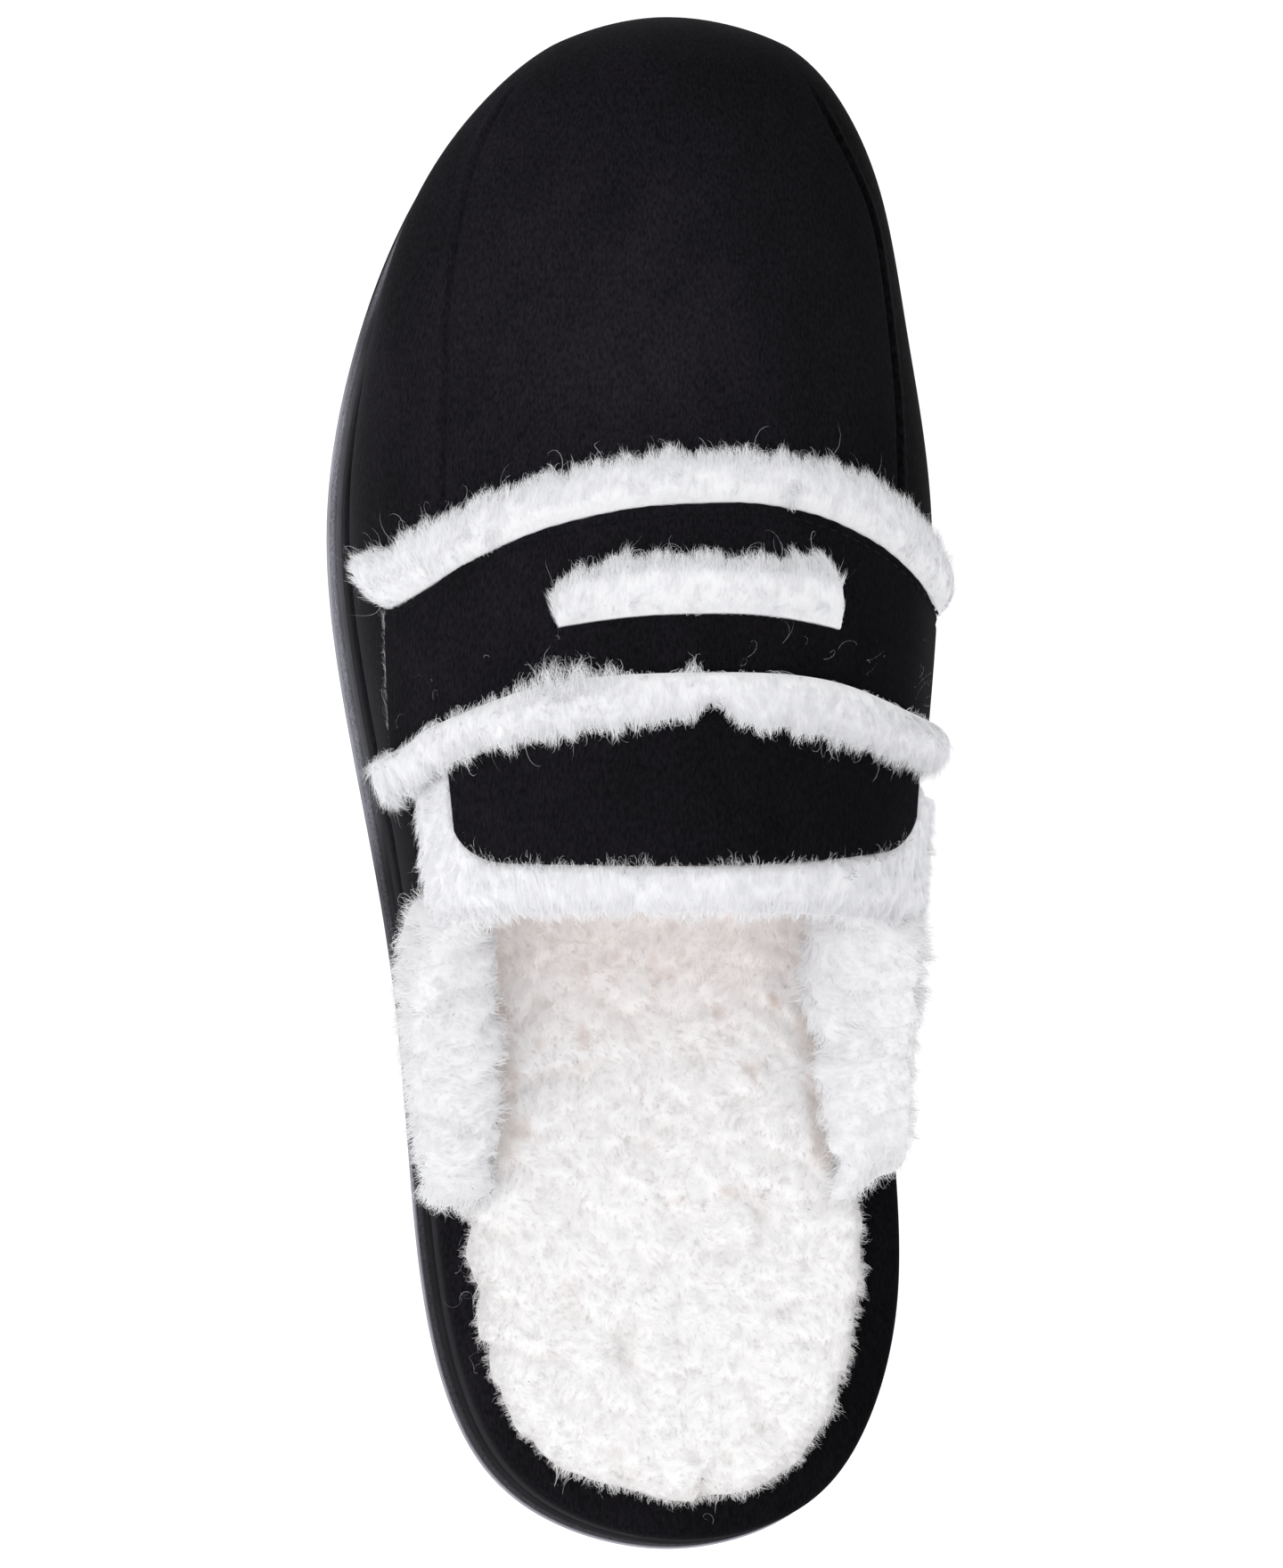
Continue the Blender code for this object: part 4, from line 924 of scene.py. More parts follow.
slot_wall = np.stack([around(face, SLOT_ROWS, SLOT_COLUMNS) for face in (strap_top, strap_bottom)])
strap_under = [patch[:, ::-1] for patch in holed(strap_bottom)]
strap_skin = skin(*holed(strap_top), *strap_under, strap_wall, slot_wall)

stitch_track = np.radians(np.linspace(30, 158, 2000))
stitch_y = across_line(STRAP_FRONT, stitch_track) - STITCH_INSET
stitch_line = upper_surface(stitch_y, stitch_track, STRAP_HIGH - STITCH_SINK)
run = run_of(stitch_line)
stitch_at = np.arange(STITCH_PITCH, run[-1] - STITCH_PITCH, STITCH_PITCH)
stitch_place, stitch_next = [np.stack([np.interp(where, run, values) for values in stitch_line.T], 1)
                             for where in (stitch_at, stitch_at + 0.5)]
stitch_along = unit(stitch_next - stitch_place)
stitch_up = upper_normal(np.interp(stitch_at, run, stitch_y), np.interp(stitch_at, run, stitch_track))
stitch_skin = stitches(stitch_place, stitch_along, np.cross(stitch_up, stitch_along), stitch_up)
thread = add_material("black_thread", (0.005, 0.005, 0.006), 0.8, 0.1)
twist = pattern(thread, (1, 1, 1), 0.4, 2)
finish(thread, {"Base Color": blend(thread, twist, (0.003, 0.003, 0.004), (0.009, 0.009, 0.011), 0.35, 0.65)})
add_bump(thread, twist, 0.15, 0.6)

strap = make_piece("strap_suede", suede, [strap_skin])
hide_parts("strap")
strap_stitches = make_piece("strap_stitches", thread, [stitch_skin])

# Tongue fur: a mat of white fur sewn on the vamp behind the strap. The tab lies on it, and its border shows
# round the tab as a smooth strip combed to the heel and outwards at both sides.
TAB_LATERAL = np.radians(43.0)
TAB_MEDIAL = np.radians(143.0)
# Rear edge of the tab: section angle in degrees, station
TAB_REAR = ((40.0, 122.6), (87.0, 120.3), (115.0, 122.0), (145.0, 126.5))
TAB_CORNER = np.radians(11.0)
TAB_ROUND = 7.0
MAT_LATERAL = np.radians(30.0)
MAT_MEDIAL = np.radians(160.0)
MAT_REAR = 112.6
MAT_FRONT = 141.5
MAT_RECESS = 5.5
MAT_LOW = 2.2
MAT_BORDER = 3.6


def tab_rear(angle):
    """Rear edge of the tab with its two rounded corners, each a quarter of an ellipse."""
    in_lateral = np.clip((TAB_LATERAL + TAB_CORNER - angle) / TAB_CORNER, 0, 1)
    in_medial = np.clip((angle - TAB_MEDIAL + TAB_CORNER) / TAB_CORNER, 0, 1)
    corner = np.maximum(in_lateral, in_medial)
    return across_line(TAB_REAR, angle) + TAB_ROUND * (1 - np.sqrt(np.clip(1 - corner**2, 0, 1)))


fur_white = add_fur_material("fur_white", (0.938, 0.941, 0.961), (0.96, 0.962, 0.98), (0.965, 0.965, 0.975),
                             (1.0, 5.0, 4.0), 6.0)
mat_angle = np.linspace(MAT_LATERAL, MAT_MEDIAL, 116)
mat_front = MAT_FRONT - MAT_RECESS * smooth(np.radians(143), np.radians(148), mat_angle)
mat_y = MAT_REAR + (mat_front - MAT_REAR) * np.linspace(0, 1, 36)[:, None]
mat_angle = np.broadcast_to(mat_angle, mat_y.shape)
mat_girth = girth(mat_y, mat_angle)
beside = np.maximum(TAB_LATERAL - mat_angle, mat_angle - TAB_MEDIAL) * mat_girth
behind = tab_rear(np.clip(mat_angle, TAB_LATERAL, TAB_MEDIAL)) - mat_y
off_tab = np.maximum(beside, behind)
free = smooth(-0.6, 0.8, off_tab)
mat_end = np.minimum(mat_angle - MAT_LATERAL, MAT_MEDIAL - mat_angle) * mat_girth
mat_round = np.sqrt(smooth(-1.0, 5.0, mat_y - MAT_REAR)) * np.sqrt(smooth(-1.0, 5.0, mat_end))
mat_high = GAP + (MAT_LOW - GAP + (MAT_BORDER - MAT_LOW) * free * (1 - smooth(136, 141, mat_y))) * mat_round
mat_top = upper_surface(mat_y, mat_angle, mat_high)
mat_bottom = upper_surface(mat_y, mat_angle, GAP)
mat_out = outward(mat_top)
mat_shade = unit(mat_out + 1.5 * upper_normal(mat_y, mat_angle))
heelward = unit(np.gradient(mat_top, axis=0)) * -1
sideways = unit(np.gradient(mat_top, axis=1)) * np.sign(mat_angle - np.pi / 2)[..., None]
outer_share = (smooth(-3.0, 5.0, beside) * 0.9)[..., None]
mat_comb = heelward * (1 - 0.5 * outer_share) + sideways * outer_share
mat_skin = sheet(plain(mat_top, shade=mat_shade), plain(mat_bottom))
mat_hairs = grow(mat_top, mat_comb + 0.15 * mat_out, 2.8, 10000, 31, lock=2.6, lift=0.2, width=0.12,
                 spread=0.25, share=smooth(-0.2, 0.6, off_tab), shade=mat_shade)
mat_rim = smooth(4.0, 0.0, np.minimum(mat_end, mat_y - MAT_REAR)) * smooth(1.0, 3.0, off_tab)
mat_fibres = grow(mat_top, mat_comb + 0.1 * mat_out, 2.6, 4200, 32, lock=1.8, gather=0.45, lift=0.25,
                  frizz=0.3, width=0.08, steps=6, spread=0.4, share=mat_rim, shade=mat_shade)
round_tab = smooth(1.0, 1.3, off_tab) * smooth(2.4, 1.8, off_tab)
mat_over = grow(mat_top, 0.6 * mat_out - mat_comb, 2.0, 1100, 33, lock=1.2, gather=0.3, lift=0.9, frizz=0.3,
                width=0.07, steps=6, spread=0.45, share=round_tab, shade=mat_shade)
mat_skins = [mat_skin, mat_hairs, mat_fibres, mat_over]
tongue_fur = make_piece("tongue_fur_mat", fur_white, mat_skins, FUR_CHANNELS)
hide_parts("tongue_fur")

# Tab: a tongue of the same suede with rounded corners, laid on the fur mat and held at the strap in front.
# Its cut edge is left raw and shows a brownish core.
TAB_LOW = 2.9
TAB_THICK = 1.8
TAB_EDGE = 1.1
TAB_DROP_START = 143.0
TAB_DROP_END = 151.0
tab_angle = eased(TAB_LATERAL, TAB_MEDIAL, 110)
tab_start = tab_rear(tab_angle)
tab_stop = across_line(STRAP_REAR, tab_angle) - 0.5
tab_y = tab_start + (tab_stop - tab_start) * eased(0, 1, 40)[:, None]
tab_at = np.broadcast_to(tab_angle, tab_y.shape)
tab_low = TAB_LOW + (GAP - TAB_LOW) * smooth(TAB_DROP_START, TAB_DROP_END, tab_y)
tab_side = np.minimum(tab_at - TAB_LATERAL, TAB_MEDIAL - tab_at) * girth(tab_y, tab_at)
tab_fall = 1 - rounded(np.minimum(tab_side, tab_y - tab_start), TAB_EDGE)
tab_top = upper_surface(tab_y, tab_at, tab_low + TAB_THICK - 0.6 * tab_fall)
tab_bottom = upper_surface(tab_y, tab_at, tab_low)
tab_raw = smooth(0.75, 1.0, tab_fall) * (0.35 + 0.65 * smooth(60, 110, np.degrees(tab_at)))

tab_suede = suede.copy()
tab_suede.name = "black_suede_raw_edge"
core = mix(tab_suede, attribute(tab_suede, "raw"), colour_of(tab_suede), (0.045, 0.02, 0.012, 1), "MIX")
finish(tab_suede, {"Base Color": core})
tab_skin = sheet(carry(tab_top, tab_raw), carry(tab_bottom, tab_raw))
tab = make_piece("tongue_tab", tab_suede, [tab_skin], ["raw"])
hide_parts("tongue")

# Strap furs: strips of white fur sewn under the two long edges of the strap and combed away from it. The
# one in front lies on the vamp, the one behind lies on the tab and the mat and has a thin place in the
# middle.
# Reach of the strips: section angle in degrees, length
FRONT_REACH = ((10.0, 14.0), (29.0, 13.0), (34.0, 10.4), (40.0, 10.0), (46.0, 11.2), (60.0, 10.8),
               (90.0, 10.2), (108.0, 10.6), (127.0, 12.8), (144.0, 13.2), (175.0, 13.0))
REAR_REACH = ((10.0, 8.2), (20.0, 9.2), (31.0, 10.6), (46.0, 9.2), (67.0, 11.0), (80.0, 10.4), (102.0, 11.6),
              (128.0, 11.9), (150.0, 10.5), (175.0, 8.0))
FRONT_FAN = np.radians(14.0)
FAN_WIDTH = np.radians(21)
THIN_PLACE = np.radians(91.0)
THIN_WIDTH = np.radians(3.6)
TRIM_HEIGHT = 3.6
TRIM_LUMP = 3.4
TRIM_ROWS = 22
TRIM_ROOT_ROWS = 8
ROOT_GAP = 0.15


def tab_height(angle, y):
    """Height that the rear fur lies on: the tab and the mat in the middle, the upper at the two ends."""
    past_medial = smooth(np.radians(146), np.radians(153), angle)
    middle = smooth(np.radians(22), np.radians(28), angle) * (1 - past_medial)
    beside = 1 - smooth(np.radians(33), np.radians(42), angle)
    drop = smooth(TAB_DROP_START - 1.4 * beside, TAB_DROP_END - 7.0 * beside, y)
    return GAP + (TAB_LOW + TAB_THICK + (GAP - TAB_LOW - TAB_THICK * beside) * drop) * middle


def scallops(run, seed):
    """Uneven wave along a free edge: three sine waves of about 8, 5 and 3 millimetres, between -1 and 1."""
    phase = np.random.default_rng(seed).uniform(0, 2 * np.pi, 3)
    wide, middle, narrow = [np.sin(run / size + turn) for size, turn in zip((1.3, 0.8, 0.47), phase)]
    return (wide + middle + 0.7 * narrow) / 2.7


def trim_piece(name, angles, root, reach, under, direction, seed, count, back_comb, start=0.35,
               end_round=(3.0, 3.0), blunt=(0.0, 0.0), fan=(0.0, 0.0), over=None):
    """Fur strip along a root line across the upper, combed to the toe (1) or to the heel (-1).

    Its height rises from the share start over the first third of its reach and falls as an ellipse to its
    free edge, with tufts on it. At its lateral and medial ends it closes as an ellipse, of which blunt
    keeps a share of the reach, and fan turns the free edge to the lateral side at the lateral end and at
    the medial end. It lies on the height under, and its top follows over instead where that is given. Flat
    hairs cover it, finer curly ones stand along its free edge, and back_comb sets how far others reach over
    the root line, by angle.
    """
    angles, root, reach, turned = [values[::direction] for values in (angles, root, reach, back_comb)]
    run = angles * MEAN_GIRTH
    share = np.sin(np.linspace(0, np.pi / 2, TRIM_ROWS))[:, None]
    closing = rounded(np.stack([run - run.min(), run.max() - run]), np.array(end_round)[:, None])
    kept = np.array(blunt)[:, None]
    width = reach * (0.86 + 0.085 * scallops(run, seed)) * np.prod(kept + (1 - kept) * closing, axis=0)
    ends = np.prod(closing, axis=0)
    y = root + direction * width * share
    at = angles - fan[0] * (1 - smooth(angles.min(), angles.min() + FAN_WIDTH, angles)) * share
    at = at - fan[1] * smooth(angles.max() - FAN_WIDTH, angles.max(), angles) * share
    rise = start + (1 - start) * (1 - (1 - np.clip(share / 0.32, 0, 1))**2)
    fall = np.sqrt(1 - np.clip((share - 0.4) / 0.6, 0, 1)**2)
    tuft = np.clip(1 - cells(at * MEAN_GIRTH, y, TRIM_LUMP, seed)[0]**2, 0, 1) - 0.5
    high = (TRIM_HEIGHT * rise + 0.5 * tuft * smooth(0, 0.2, share)) * fall * ends
    low = under(at, y)
    floor = upper_surface(y, at, low)
    lifted = low + high if over is None else np.maximum(low, low + (over(at, y) - low) * ends + high)
    top = upper_surface(y, at, lifted)
    shade = unit(outward(top) + 3.0 * upper_normal(y, at))
    comb = unit(np.gradient(floor, axis=0) + 0.4 * np.gradient(top, axis=0)) + 0.12 * outward(top)
    # The body's tip channel is lower between the tufts: a painted shade there
    body = sheet(plain(top, 0.45 + 0.5 * tuft, 0.6, shade), plain(floor))
    hairs = grow(top, comb, 2.6, count, seed, lock=2.2, lift=0.15, frizz=0.14, width=0.12, spread=0.28,
                 shade=shade)
    rim = smooth(0.62, 1.0, share) + (1 - ends) * 1.6
    fibres = grow(top, comb, 2.0, count // 2, seed + 50, lock=1.7, lift=0.2, frizz=0.4, width=0.08, steps=7,
                  spread=0.4, share=rim, shade=shade)
    stray = grow(top, comb, 3.6, count // 60, seed + 100, lock=1.5, gather=0.0, lift=0.4, frizz=0.42,
                 width=0.055, steps=10, spread=0.6, share=0.3 + rim, shade=shade)
    by_root = top[:TRIM_ROOT_ROWS]
    back = unit(np.gradient(by_root, axis=0)) * -1 + 0.5 * outward(by_root)
    backward = grow(by_root, back, 0.5 + 2.7 * turned, count // 5, seed + 200, lock=2.0, gather=0.4, lift=0.4,
                    frizz=0.3, width=0.09, steps=6, spread=0.4, share=turned, shade=shade[:TRIM_ROOT_ROWS])
    return make_piece(name, fur_white, [body, hairs, fibres, stray, backward], FUR_CHANNELS)


front_angles = np.radians(np.linspace(29.0, 162.5, 200))
front_back = 0.12 + 0.2 * (front_angles < np.radians(58)) + bell(front_angles - np.radians(106.6), 0.022)
front_root = across_line(STRAP_FRONT, front_angles) + ROOT_GAP
front_reach = across_line(FRONT_REACH, front_angles)
front_fur = trim_piece("strap_fur_front_strip", front_angles, front_root, front_reach,
                       lambda t, y: GAP + 0 * y, 1, 41, 9000, front_back, end_round=(1.4, 3.0),
                       blunt=(1.0, 0.2), fan=(FRONT_FAN, 0.0))
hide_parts("strap_fur_front")

rear_angles = np.radians(np.linspace(14.5, 157.5, 210))
rear_reach = across_line(REAR_REACH, rear_angles) * (1 - 0.42 * bell(rear_angles - THIN_PLACE, THIN_WIDTH))
rear_back = bell(rear_angles - np.radians(68), np.radians(9)) + 0.25 * (rear_angles < np.radians(80))
rear_back = np.maximum(rear_back + 0.14, 1.2 * bell(rear_angles - np.radians(88.5), np.radians(1.3)))
rear_root = across_line(STRAP_REAR, rear_angles) - ROOT_GAP
rear_fur = trim_piece("strap_fur_rear_strip", rear_angles, rear_root, rear_reach, tab_height, -1, 42, 9000,
                      rear_back, blunt=(0.45, 0.3))
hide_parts("strap_fur_rear")

# Slot fur: a strip of the same fur sewn under the strap, standing up through the slot and combed to the toe
# over the front edge of the slot.
# Reach of the strip: section angle in degrees, length
SLOT_REACH = ((60.0, 5.5), (67.0, 6.5), (72.0, 9.2), (76.0, 10.7), (90.0, 10.6), (103.0, 11.0), (112.0, 12.4),
              (118.0, 14.2), (125.0, 15.0))
SLOT_FAN = np.radians(5.0)
SLOT_STEP = 2.2


def slot_floor(angle, y, width=0.3, start=SLOT_WIDTH):
    """Height under the slot fur: the upper, and past start from the slot's rear edge a rise over a width."""
    return GAP + SLOT_STEP * smooth(0.0, width, y - across_line(SLOT_REAR, angle) - start)


slot_angles = np.radians(np.linspace(66.8, 119.4, 90))
slot_root = across_line(SLOT_REAR, slot_angles) + ROOT_GAP
slot_reach = across_line(SLOT_REACH, slot_angles)
slot_fur = trim_piece("slot_fur_strip", slot_angles, slot_root, slot_reach, slot_floor, 1, 43, 4400,
                      0.08 + 0 * slot_angles, start=0.5, end_round=(1.2, 1.2), blunt=(1.0, 1.0),
                      fan=(0.0, SLOT_FAN), over=lambda t, y: slot_floor(t, y, SLOT_WIDTH, 0.0))
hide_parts("slot_fur")

# Loose fibres: white hairs of the backing that stand out of the cut lateral end of the strap, and hairs
# that the fur has shed on the strap and on the rim of the heel. They cling to the suede.
edge_share = np.linspace(0.04, 0.97, 40)[:, None] + 0 * np.arange(3)
edge_y = strap_rear[0] + (strap_front[0] - strap_rear[0]) * edge_share
edge_angle = STRAP_LATERAL - 0.004 + STRAP_LEAN * (edge_share - 0.5)
edge_grid = upper_surface(edge_y, edge_angle, np.array((1.3, 1.6, 1.9)))
edge_fibres = grow(edge_grid, np.array((-0.1, 1.0, 0.2)), 2.0, 150, 61, lock=1.0, gather=0.2, lift=0.05,
                   frizz=0.3, width=0.035, steps=7, shade=np.broadcast_to((-0.8, 0.0, 0.6), edge_grid.shape))
shed_share = np.exp(-(strap_y - strap_rear) / 5) * (to_slot > 0.8) * smooth(1.0, 2.0, to_edge)
shed = grow(strap_top, np.array((0.6, 1.0, 0.2)), 2.5, 34, 62, lock=6.0, gather=0.0, lift=0.1, frizz=0.7,
            width=0.022, steps=12, spread=0.9, share=shed_share)
rim_grid = wrap[6:8]
rim_share = (rim_grid[..., 1] < 76) * smooth(30, -20, rim_grid[..., 0])
lint = grow(rim_grid, np.array((0.6, 0.8, 0.1)), 2.6, 30, 63, lock=6.0, gather=0.0, lift=0.08, frizz=0.6,
            width=0.018, steps=12, spread=0.9, share=rim_share)
loose = make_piece("loose_fibres", fur_white, [edge_fibres, shed, lint], FUR_CHANNELS)

# Collar furs: rolls of white fur bound over the topline of the two quarters, from the mat down to the
# platform. They hang over the wall of the upper inside and outside, and their locks lie outwards and to the
# heel.
# Section of a roll: share of the drop, share of the depth; its slot for the wall is in millimetres
ROLL_OUTSIDE = np.array(((0.86, 0.2), (1.0, 0.5), (0.72, 0.9), (0.25, 1.0)))
ROLL_OVER = np.array(((-0.55, 0.8), (-0.95, 0.0), (-1.0, 0.36), (-0.75, 0.78)))
ROLL_INSIDE = np.array(((0.04, 1.0), (0.45, 1.02), (0.85, 0.9), (1.0, 0.62), (0.9, 0.3), (0.5, 0.28)))
ROLL_SLOT = np.array(((-1.8, -3.6), (-1.8, 0.6), (5.0, 0.5)))
ROLL_COVER = np.array((0.0, 0.0, 0.0, 0.6, 1.5, 2.3, 2.5, 2.2, 1.6, 0.9, 0.3, 0.0, 0.0, 0.0, 0.0, 0.0, 0.0))
ROLL_RISE = 4.6
ROLL_DROP = 12.0
ROLL_STEPS = 90
ROLL_HAIRY = 14
ROLL_ROUND = 46
ROLL_TUFT = 6.4
ROLL_DOME = 2.4
# Sizes of the two rolls: station, overhang, depth
COLLAR_LATERAL = ((60.0, 1.4, 8.6), (66.0, 2.0, 9.8), (72.0, 2.5, 11.0), (80.0, 3.0, 12.2),
                  (92.0, 3.2, 12.8), (102.0, 2.6, 12.4), (110.0, 1.2, 11.6), (118.0, 0.8, 11.0))
COLLAR_MEDIAL = ((66.0, 0.3, 10.0), (72.0, 0.3, 11.6), (78.0, 0.3, 12.6), (83.0, 0.5, 13.4),
                 (92.0, 1.2, 15.6), (104.0, 2.4, 17.6), (118.0, 3.0, 16.0))
COLLAR_HAIRS = 9000
MEDIAL_PULL = 0.85
# The collars' root colour is a painted shade, in the creases of the rolls and at the roots of the hairs
collar_white = add_fur_material("collar_white", (0.915, 0.917, 0.934), (0.94, 0.941, 0.954),
                                (0.93, 0.905, 0.9), (4.5, 1.0, 4.0), 10.0)


def spline_rows(rows, count):
    """More rows through a stack of rows, read from the same smooth curve at every place along them."""
    knots = np.arange(len(rows))
    where = np.linspace(0, len(rows) - 1, count)
    weights = np.stack([spline(knots, one, where) for one in np.eye(len(rows))], 1)
    return np.tensordot(weights, rows, 1)


def collar_piece(name, start, stop, feather, sizes, pull, seed):
    """Fur roll along the topline from the section angle start at the heel to stop at the throat.

    Its sections stand square to the topline: drop runs down the wall outside and inside, and is held above
    the feather line and the insole; out runs off the wall. Outside it ends at the corner where the topline
    turns to the throat, and pull draws the inner half of its end to the heel. Tufts swell it, and a dome
    closes its end.
    """
    lateral = feather == 0
    dense = np.radians(np.linspace(start, stop, 400))
    length = run_of(upper_base(across_line(TOPLINE, dense), dense))
    from_end = np.linspace(0, length[-1], ROLL_STEPS)[:, None]
    top = np.interp(from_end, length, dense)
    y = across_line(TOPLINE, top)
    across = girth(y, top)
    along = (across_line(TOPLINE, top + 0.01) - across_line(TOPLINE, top - 0.01)) / 0.02
    slant = np.hypot(across, along)
    rise = (upper_base(y, top) - upper_base(y, feather))[..., 2]
    corner = smooth(np.radians(20), np.radians(37), np.abs(top - feather))
    under_mat = smooth(np.radians(26), np.radians(39), np.abs(top - feather))
    overhang, depth = [spline(*np.array(sizes).T[[0, k]], y) for k in (1, 2)]
    overhang = (overhang + 0.6 * scallops(y * 0.8, seed)) * (1 - 0.9 * under_mat)
    depth = (depth + 1.7 * scallops(y * 0.6, seed + 1)) * (1 - 0.45 * under_mat)
    lip = ROLL_RISE * (0.5 + 0.5 * smooth(0, 11, from_end)) * (1 - 0.2 * under_mat)
    outside = ROLL_DROP * np.clip((rise - 1.0) / 12.5, 0.05, 1) * (1 - 0.96 * corner)
    slot_drop = np.where(ROLL_SLOT[:, 0] > 0, ROLL_SLOT[:, 0] * outside / ROLL_DROP, ROLL_SLOT[:, 0])
    inner_drop = ROLL_INSIDE[:, 0] * np.clip(rise - 6.5, 0.6, 13.0) * (1 - 0.5 * corner)
    drop = np.concatenate([ROLL_OUTSIDE[:, 0] * outside, ROLL_OVER[:, 0] * lip, inner_drop, slot_drop], 1)
    out = np.concatenate([np.maximum(ROLL_OUTSIDE[:, 1] * overhang, 0.5), ROLL_OVER[:1, 1] * overhang,
                          -ROLL_OVER[1:, 1] * depth, -np.maximum(ROLL_INSIDE[:, 1] * depth, 3.5),
                          ROLL_SLOT[:, 1] + 0 * y], 1)
    grid = upper_surface(y + drop * across / slant, top - drop * along / slant / across, out)
    grid[..., 1] -= pull * np.clip(-out - 3.0, 0, None) * (1 - smooth(0, 26, from_end))
    inset = np.abs(edge(LATERAL if lateral else MEDIAL, grid[..., 1]) - grid[..., 0]) - RIM - BED_CLEARANCE
    pile = (PILE + 1.2) * rounded(inset, BED_ROUND) + ROLL_COVER
    grid[..., 2] = np.maximum(grid[..., 2], platform(grid[..., 1]) + GAP + pile)
    hairy = np.moveaxis(spline_rows(np.moveaxis(grid[:, :ROLL_HAIRY], 1, 0), ROLL_ROUND), 0, 1)
    hairy[..., 2] = np.maximum(hairy[..., 2], platform(hairy[..., 1]) + GAP)
    hairy = hairy if lateral else hairy[:, ::-1]
    smooth_side = outward(hairy)
    places = np.arange(ROLL_ROUND)
    tuft_x = places * 0.85 + 1.2 * np.sin(from_end / 3.3 + seed)
    tuft, bright, lay = curls(tuft_x, from_end + 1.1 * np.sin(places / 3.1), ROLL_TUFT, seed)
    round_off = np.sin(np.linspace(0, np.pi, ROLL_ROUND))**0.5
    round_off = round_off * smooth(0, 12, from_end) * (1 - 0.8 * under_mat)
    hairy = hairy + smooth_side * (1.9 * tuft * round_off)[..., None]
    shade = unit(0.5 * outward(hairy) + 0.35 * smooth_side + np.array((0, 0, 1.3)))
    around_roll = unit(np.gradient(hairy, axis=1))
    sideways = around_roll * np.tanh((places - 22) / 9)[:, None]
    lying = around_roll * lay[..., :1] + unit(np.gradient(hairy, axis=0)) * lay[..., 1:]
    upright = 0.2 + 0.3 * np.linspace(-1, 1, ROLL_ROUND)[:, None]**2
    comb = sideways * 0.5 + 0.5 * lying + upright * smooth_side
    hairs = grow(hairy, comb, 2.8, COLLAR_HAIRS, seed, lock=2.8, gather=0.45, lift=0.2, frizz=0.2, width=0.13,
                 spread=0.32, shade=shade)
    fibres = grow(hairy, comb, 2.6, COLLAR_HAIRS * 2 // 5, seed + 50, lock=2.2, frizz=0.4, width=0.08, steps=7,
                  spread=0.45, share=1 + 3 * smooth(9, 0, from_end), shade=shade)
    # The body is darker in the creases in front of each tuft: a painted shade
    shell = plain(hairy, bright, 0.6, shade)
    shell = np.concatenate([shell if lateral else shell[:, ::-1], plain(grid[:, ROLL_HAIRY:])], 1)
    wall = np.concatenate([shell, shell[:, :1]], 1)
    middle = wall[:, :-1].mean(axis=1)
    away = np.zeros(wall.shape[-1])
    away[:2] = ROLL_DOME * unit(middle[0] - middle[2])[:2]
    dome = np.stack([middle[0] + (wall[0] - middle[0]) * share + away * np.sqrt(1 - share**2)
                     for share in (0.0, 0.45, 0.8, 1.0)])
    cap = np.stack([wall[-1], np.broadcast_to(middle[-1], wall[-1].shape)])
    return make_piece(name, collar_white, [skin(wall, dome, cap), hairs, fibres], FUR_CHANNELS)


collar_lateral = collar_piece("collar_fur_lateral_roll", 2.0, 41.0, 0.0, COLLAR_LATERAL, 0.0, 51)
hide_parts("collar_fur_lateral")
collar_medial = collar_piece("collar_fur_medial_roll", 177.0, 139.0, np.pi, COLLAR_MEDIAL, MEDIAL_PULL, 52)
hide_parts("collar_fur_medial")

# Studio: a plain white floor, soft light from above, from the left and from the heel, and a camera that
# looks almost straight down with the toe at the top of the picture.
VIEW_POINT = np.array((-4.6, 140.0, 30.0))
VIEW_DISTANCE = 1500.0
VIEW_TILT_SIDE = np.radians(6.0)
VIEW_TILT_BACK = np.radians(4.5)
PIXELS_PER_MM = 6.04
PICTURE_HEIGHT = 1760
SENSOR = 36.0
TOEWARD = np.array((0.0, 1.0, 0.0))
LIT_POINT = np.array((0.0, 0.0, 0.04))
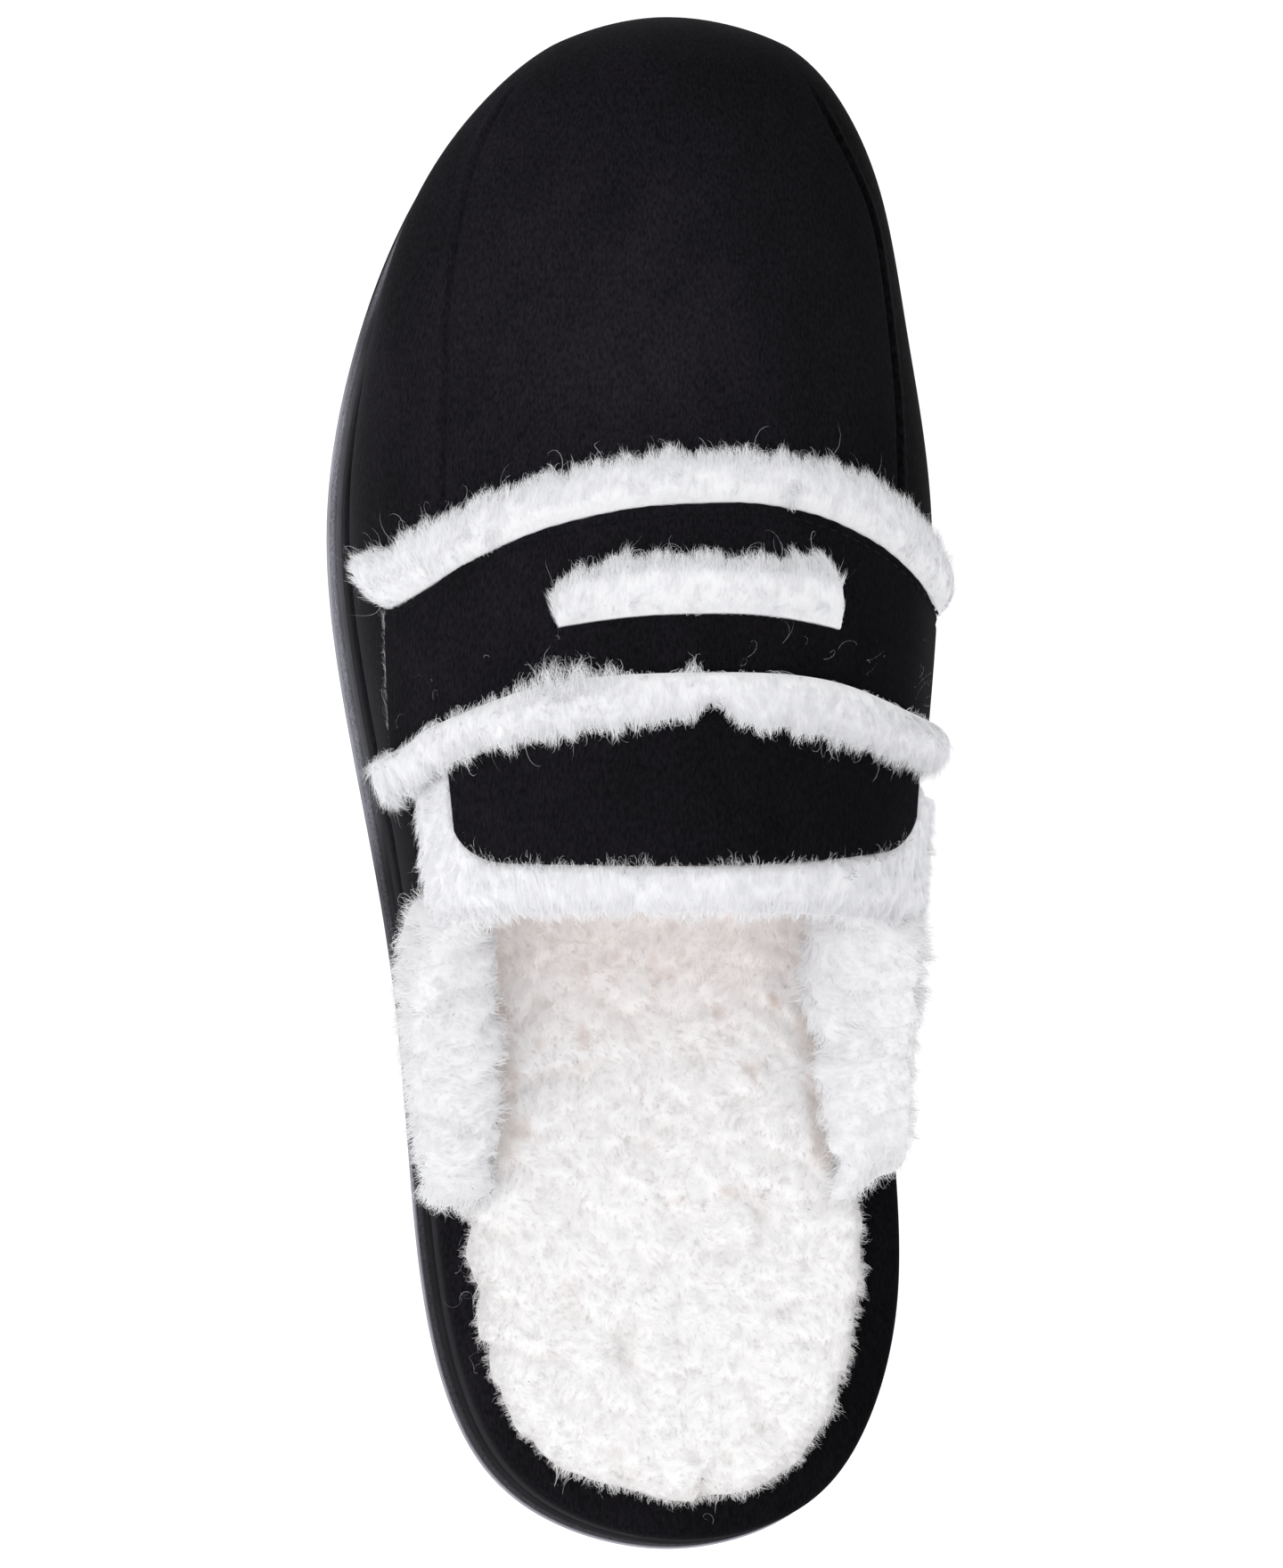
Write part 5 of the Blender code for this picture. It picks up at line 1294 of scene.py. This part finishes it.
# Lights: name, place in metres, size, power
LIGHTS = (
    ("key_light", (-1.05, -0.3, 1.45), 2.4, 10.0),
    ("top_light", (-0.1, 0.1, 1.8), 2.4, 6.0),
    ("heel_light", (0.0, -1.3, 1.0), 1.6, 7.0),
)


def aim(made, eye, target):
    """Places an object at eye so that its -Z axis looks at target and its Y axis points to the toe."""
    back = unit(eye - target)
    right = unit(np.cross(TOEWARD, back))
    turn = np.eye(4)
    turn[:3, :3] = np.stack([right, np.cross(back, right), back], 1)
    turn[:3, 3] = eye
    made.matrix_world = turn.T.tolist()
    bpy.context.scene.collection.objects.link(made)


floor_mesh = bpy.data.meshes.new("floor")
floor_mesh.from_pydata([(-3, -3, 0), (3, -3, 0), (3, 3, 0), (-3, 3, 0)], [], [(0, 1, 2, 3)])
floor = bpy.data.objects.new("floor", floor_mesh)
bpy.context.scene.collection.objects.link(floor)
white_card = add_material("white_card", (0.25, 0.25, 0.25), 0.9, 0.0)
finish(white_card, {"Emission Color": (1, 1, 1, 1), "Emission Strength": 0.95})
floor_mesh.materials.append(white_card)

world = bpy.data.worlds.new("studio")
bpy.context.scene.world = world
world.use_nodes = True
world.node_tree.nodes["Background"].inputs["Color"].default_value = (1, 1, 1, 1)
world.node_tree.nodes["Background"].inputs["Strength"].default_value = 0.64

for name, place, size, power in LIGHTS:
    lamp = bpy.data.lights.new(name, "AREA")
    lamp.size = size
    lamp.energy = power
    aim(bpy.data.objects.new(name, lamp), np.array(place), LIT_POINT)

look = np.array((-np.sin(VIEW_TILT_SIDE), -np.sin(VIEW_TILT_BACK), 0.0))
look[2] = np.sqrt(1 - look @ look)
view_point = (VIEW_POINT + LAST_ORIGIN) * MM
lens = bpy.data.cameras.new("camera")
lens.sensor_width = SENSOR
lens.sensor_fit = "AUTO"
lens.lens = SENSOR * PIXELS_PER_MM * VIEW_DISTANCE / PICTURE_HEIGHT
lens.clip_end = 20.0
camera = bpy.data.objects.new("camera", lens)
aim(camera, view_point + look * VIEW_DISTANCE * MM, view_point)
bpy.context.scene.camera = camera
bpy.context.scene.view_settings.view_transform = "Standard"
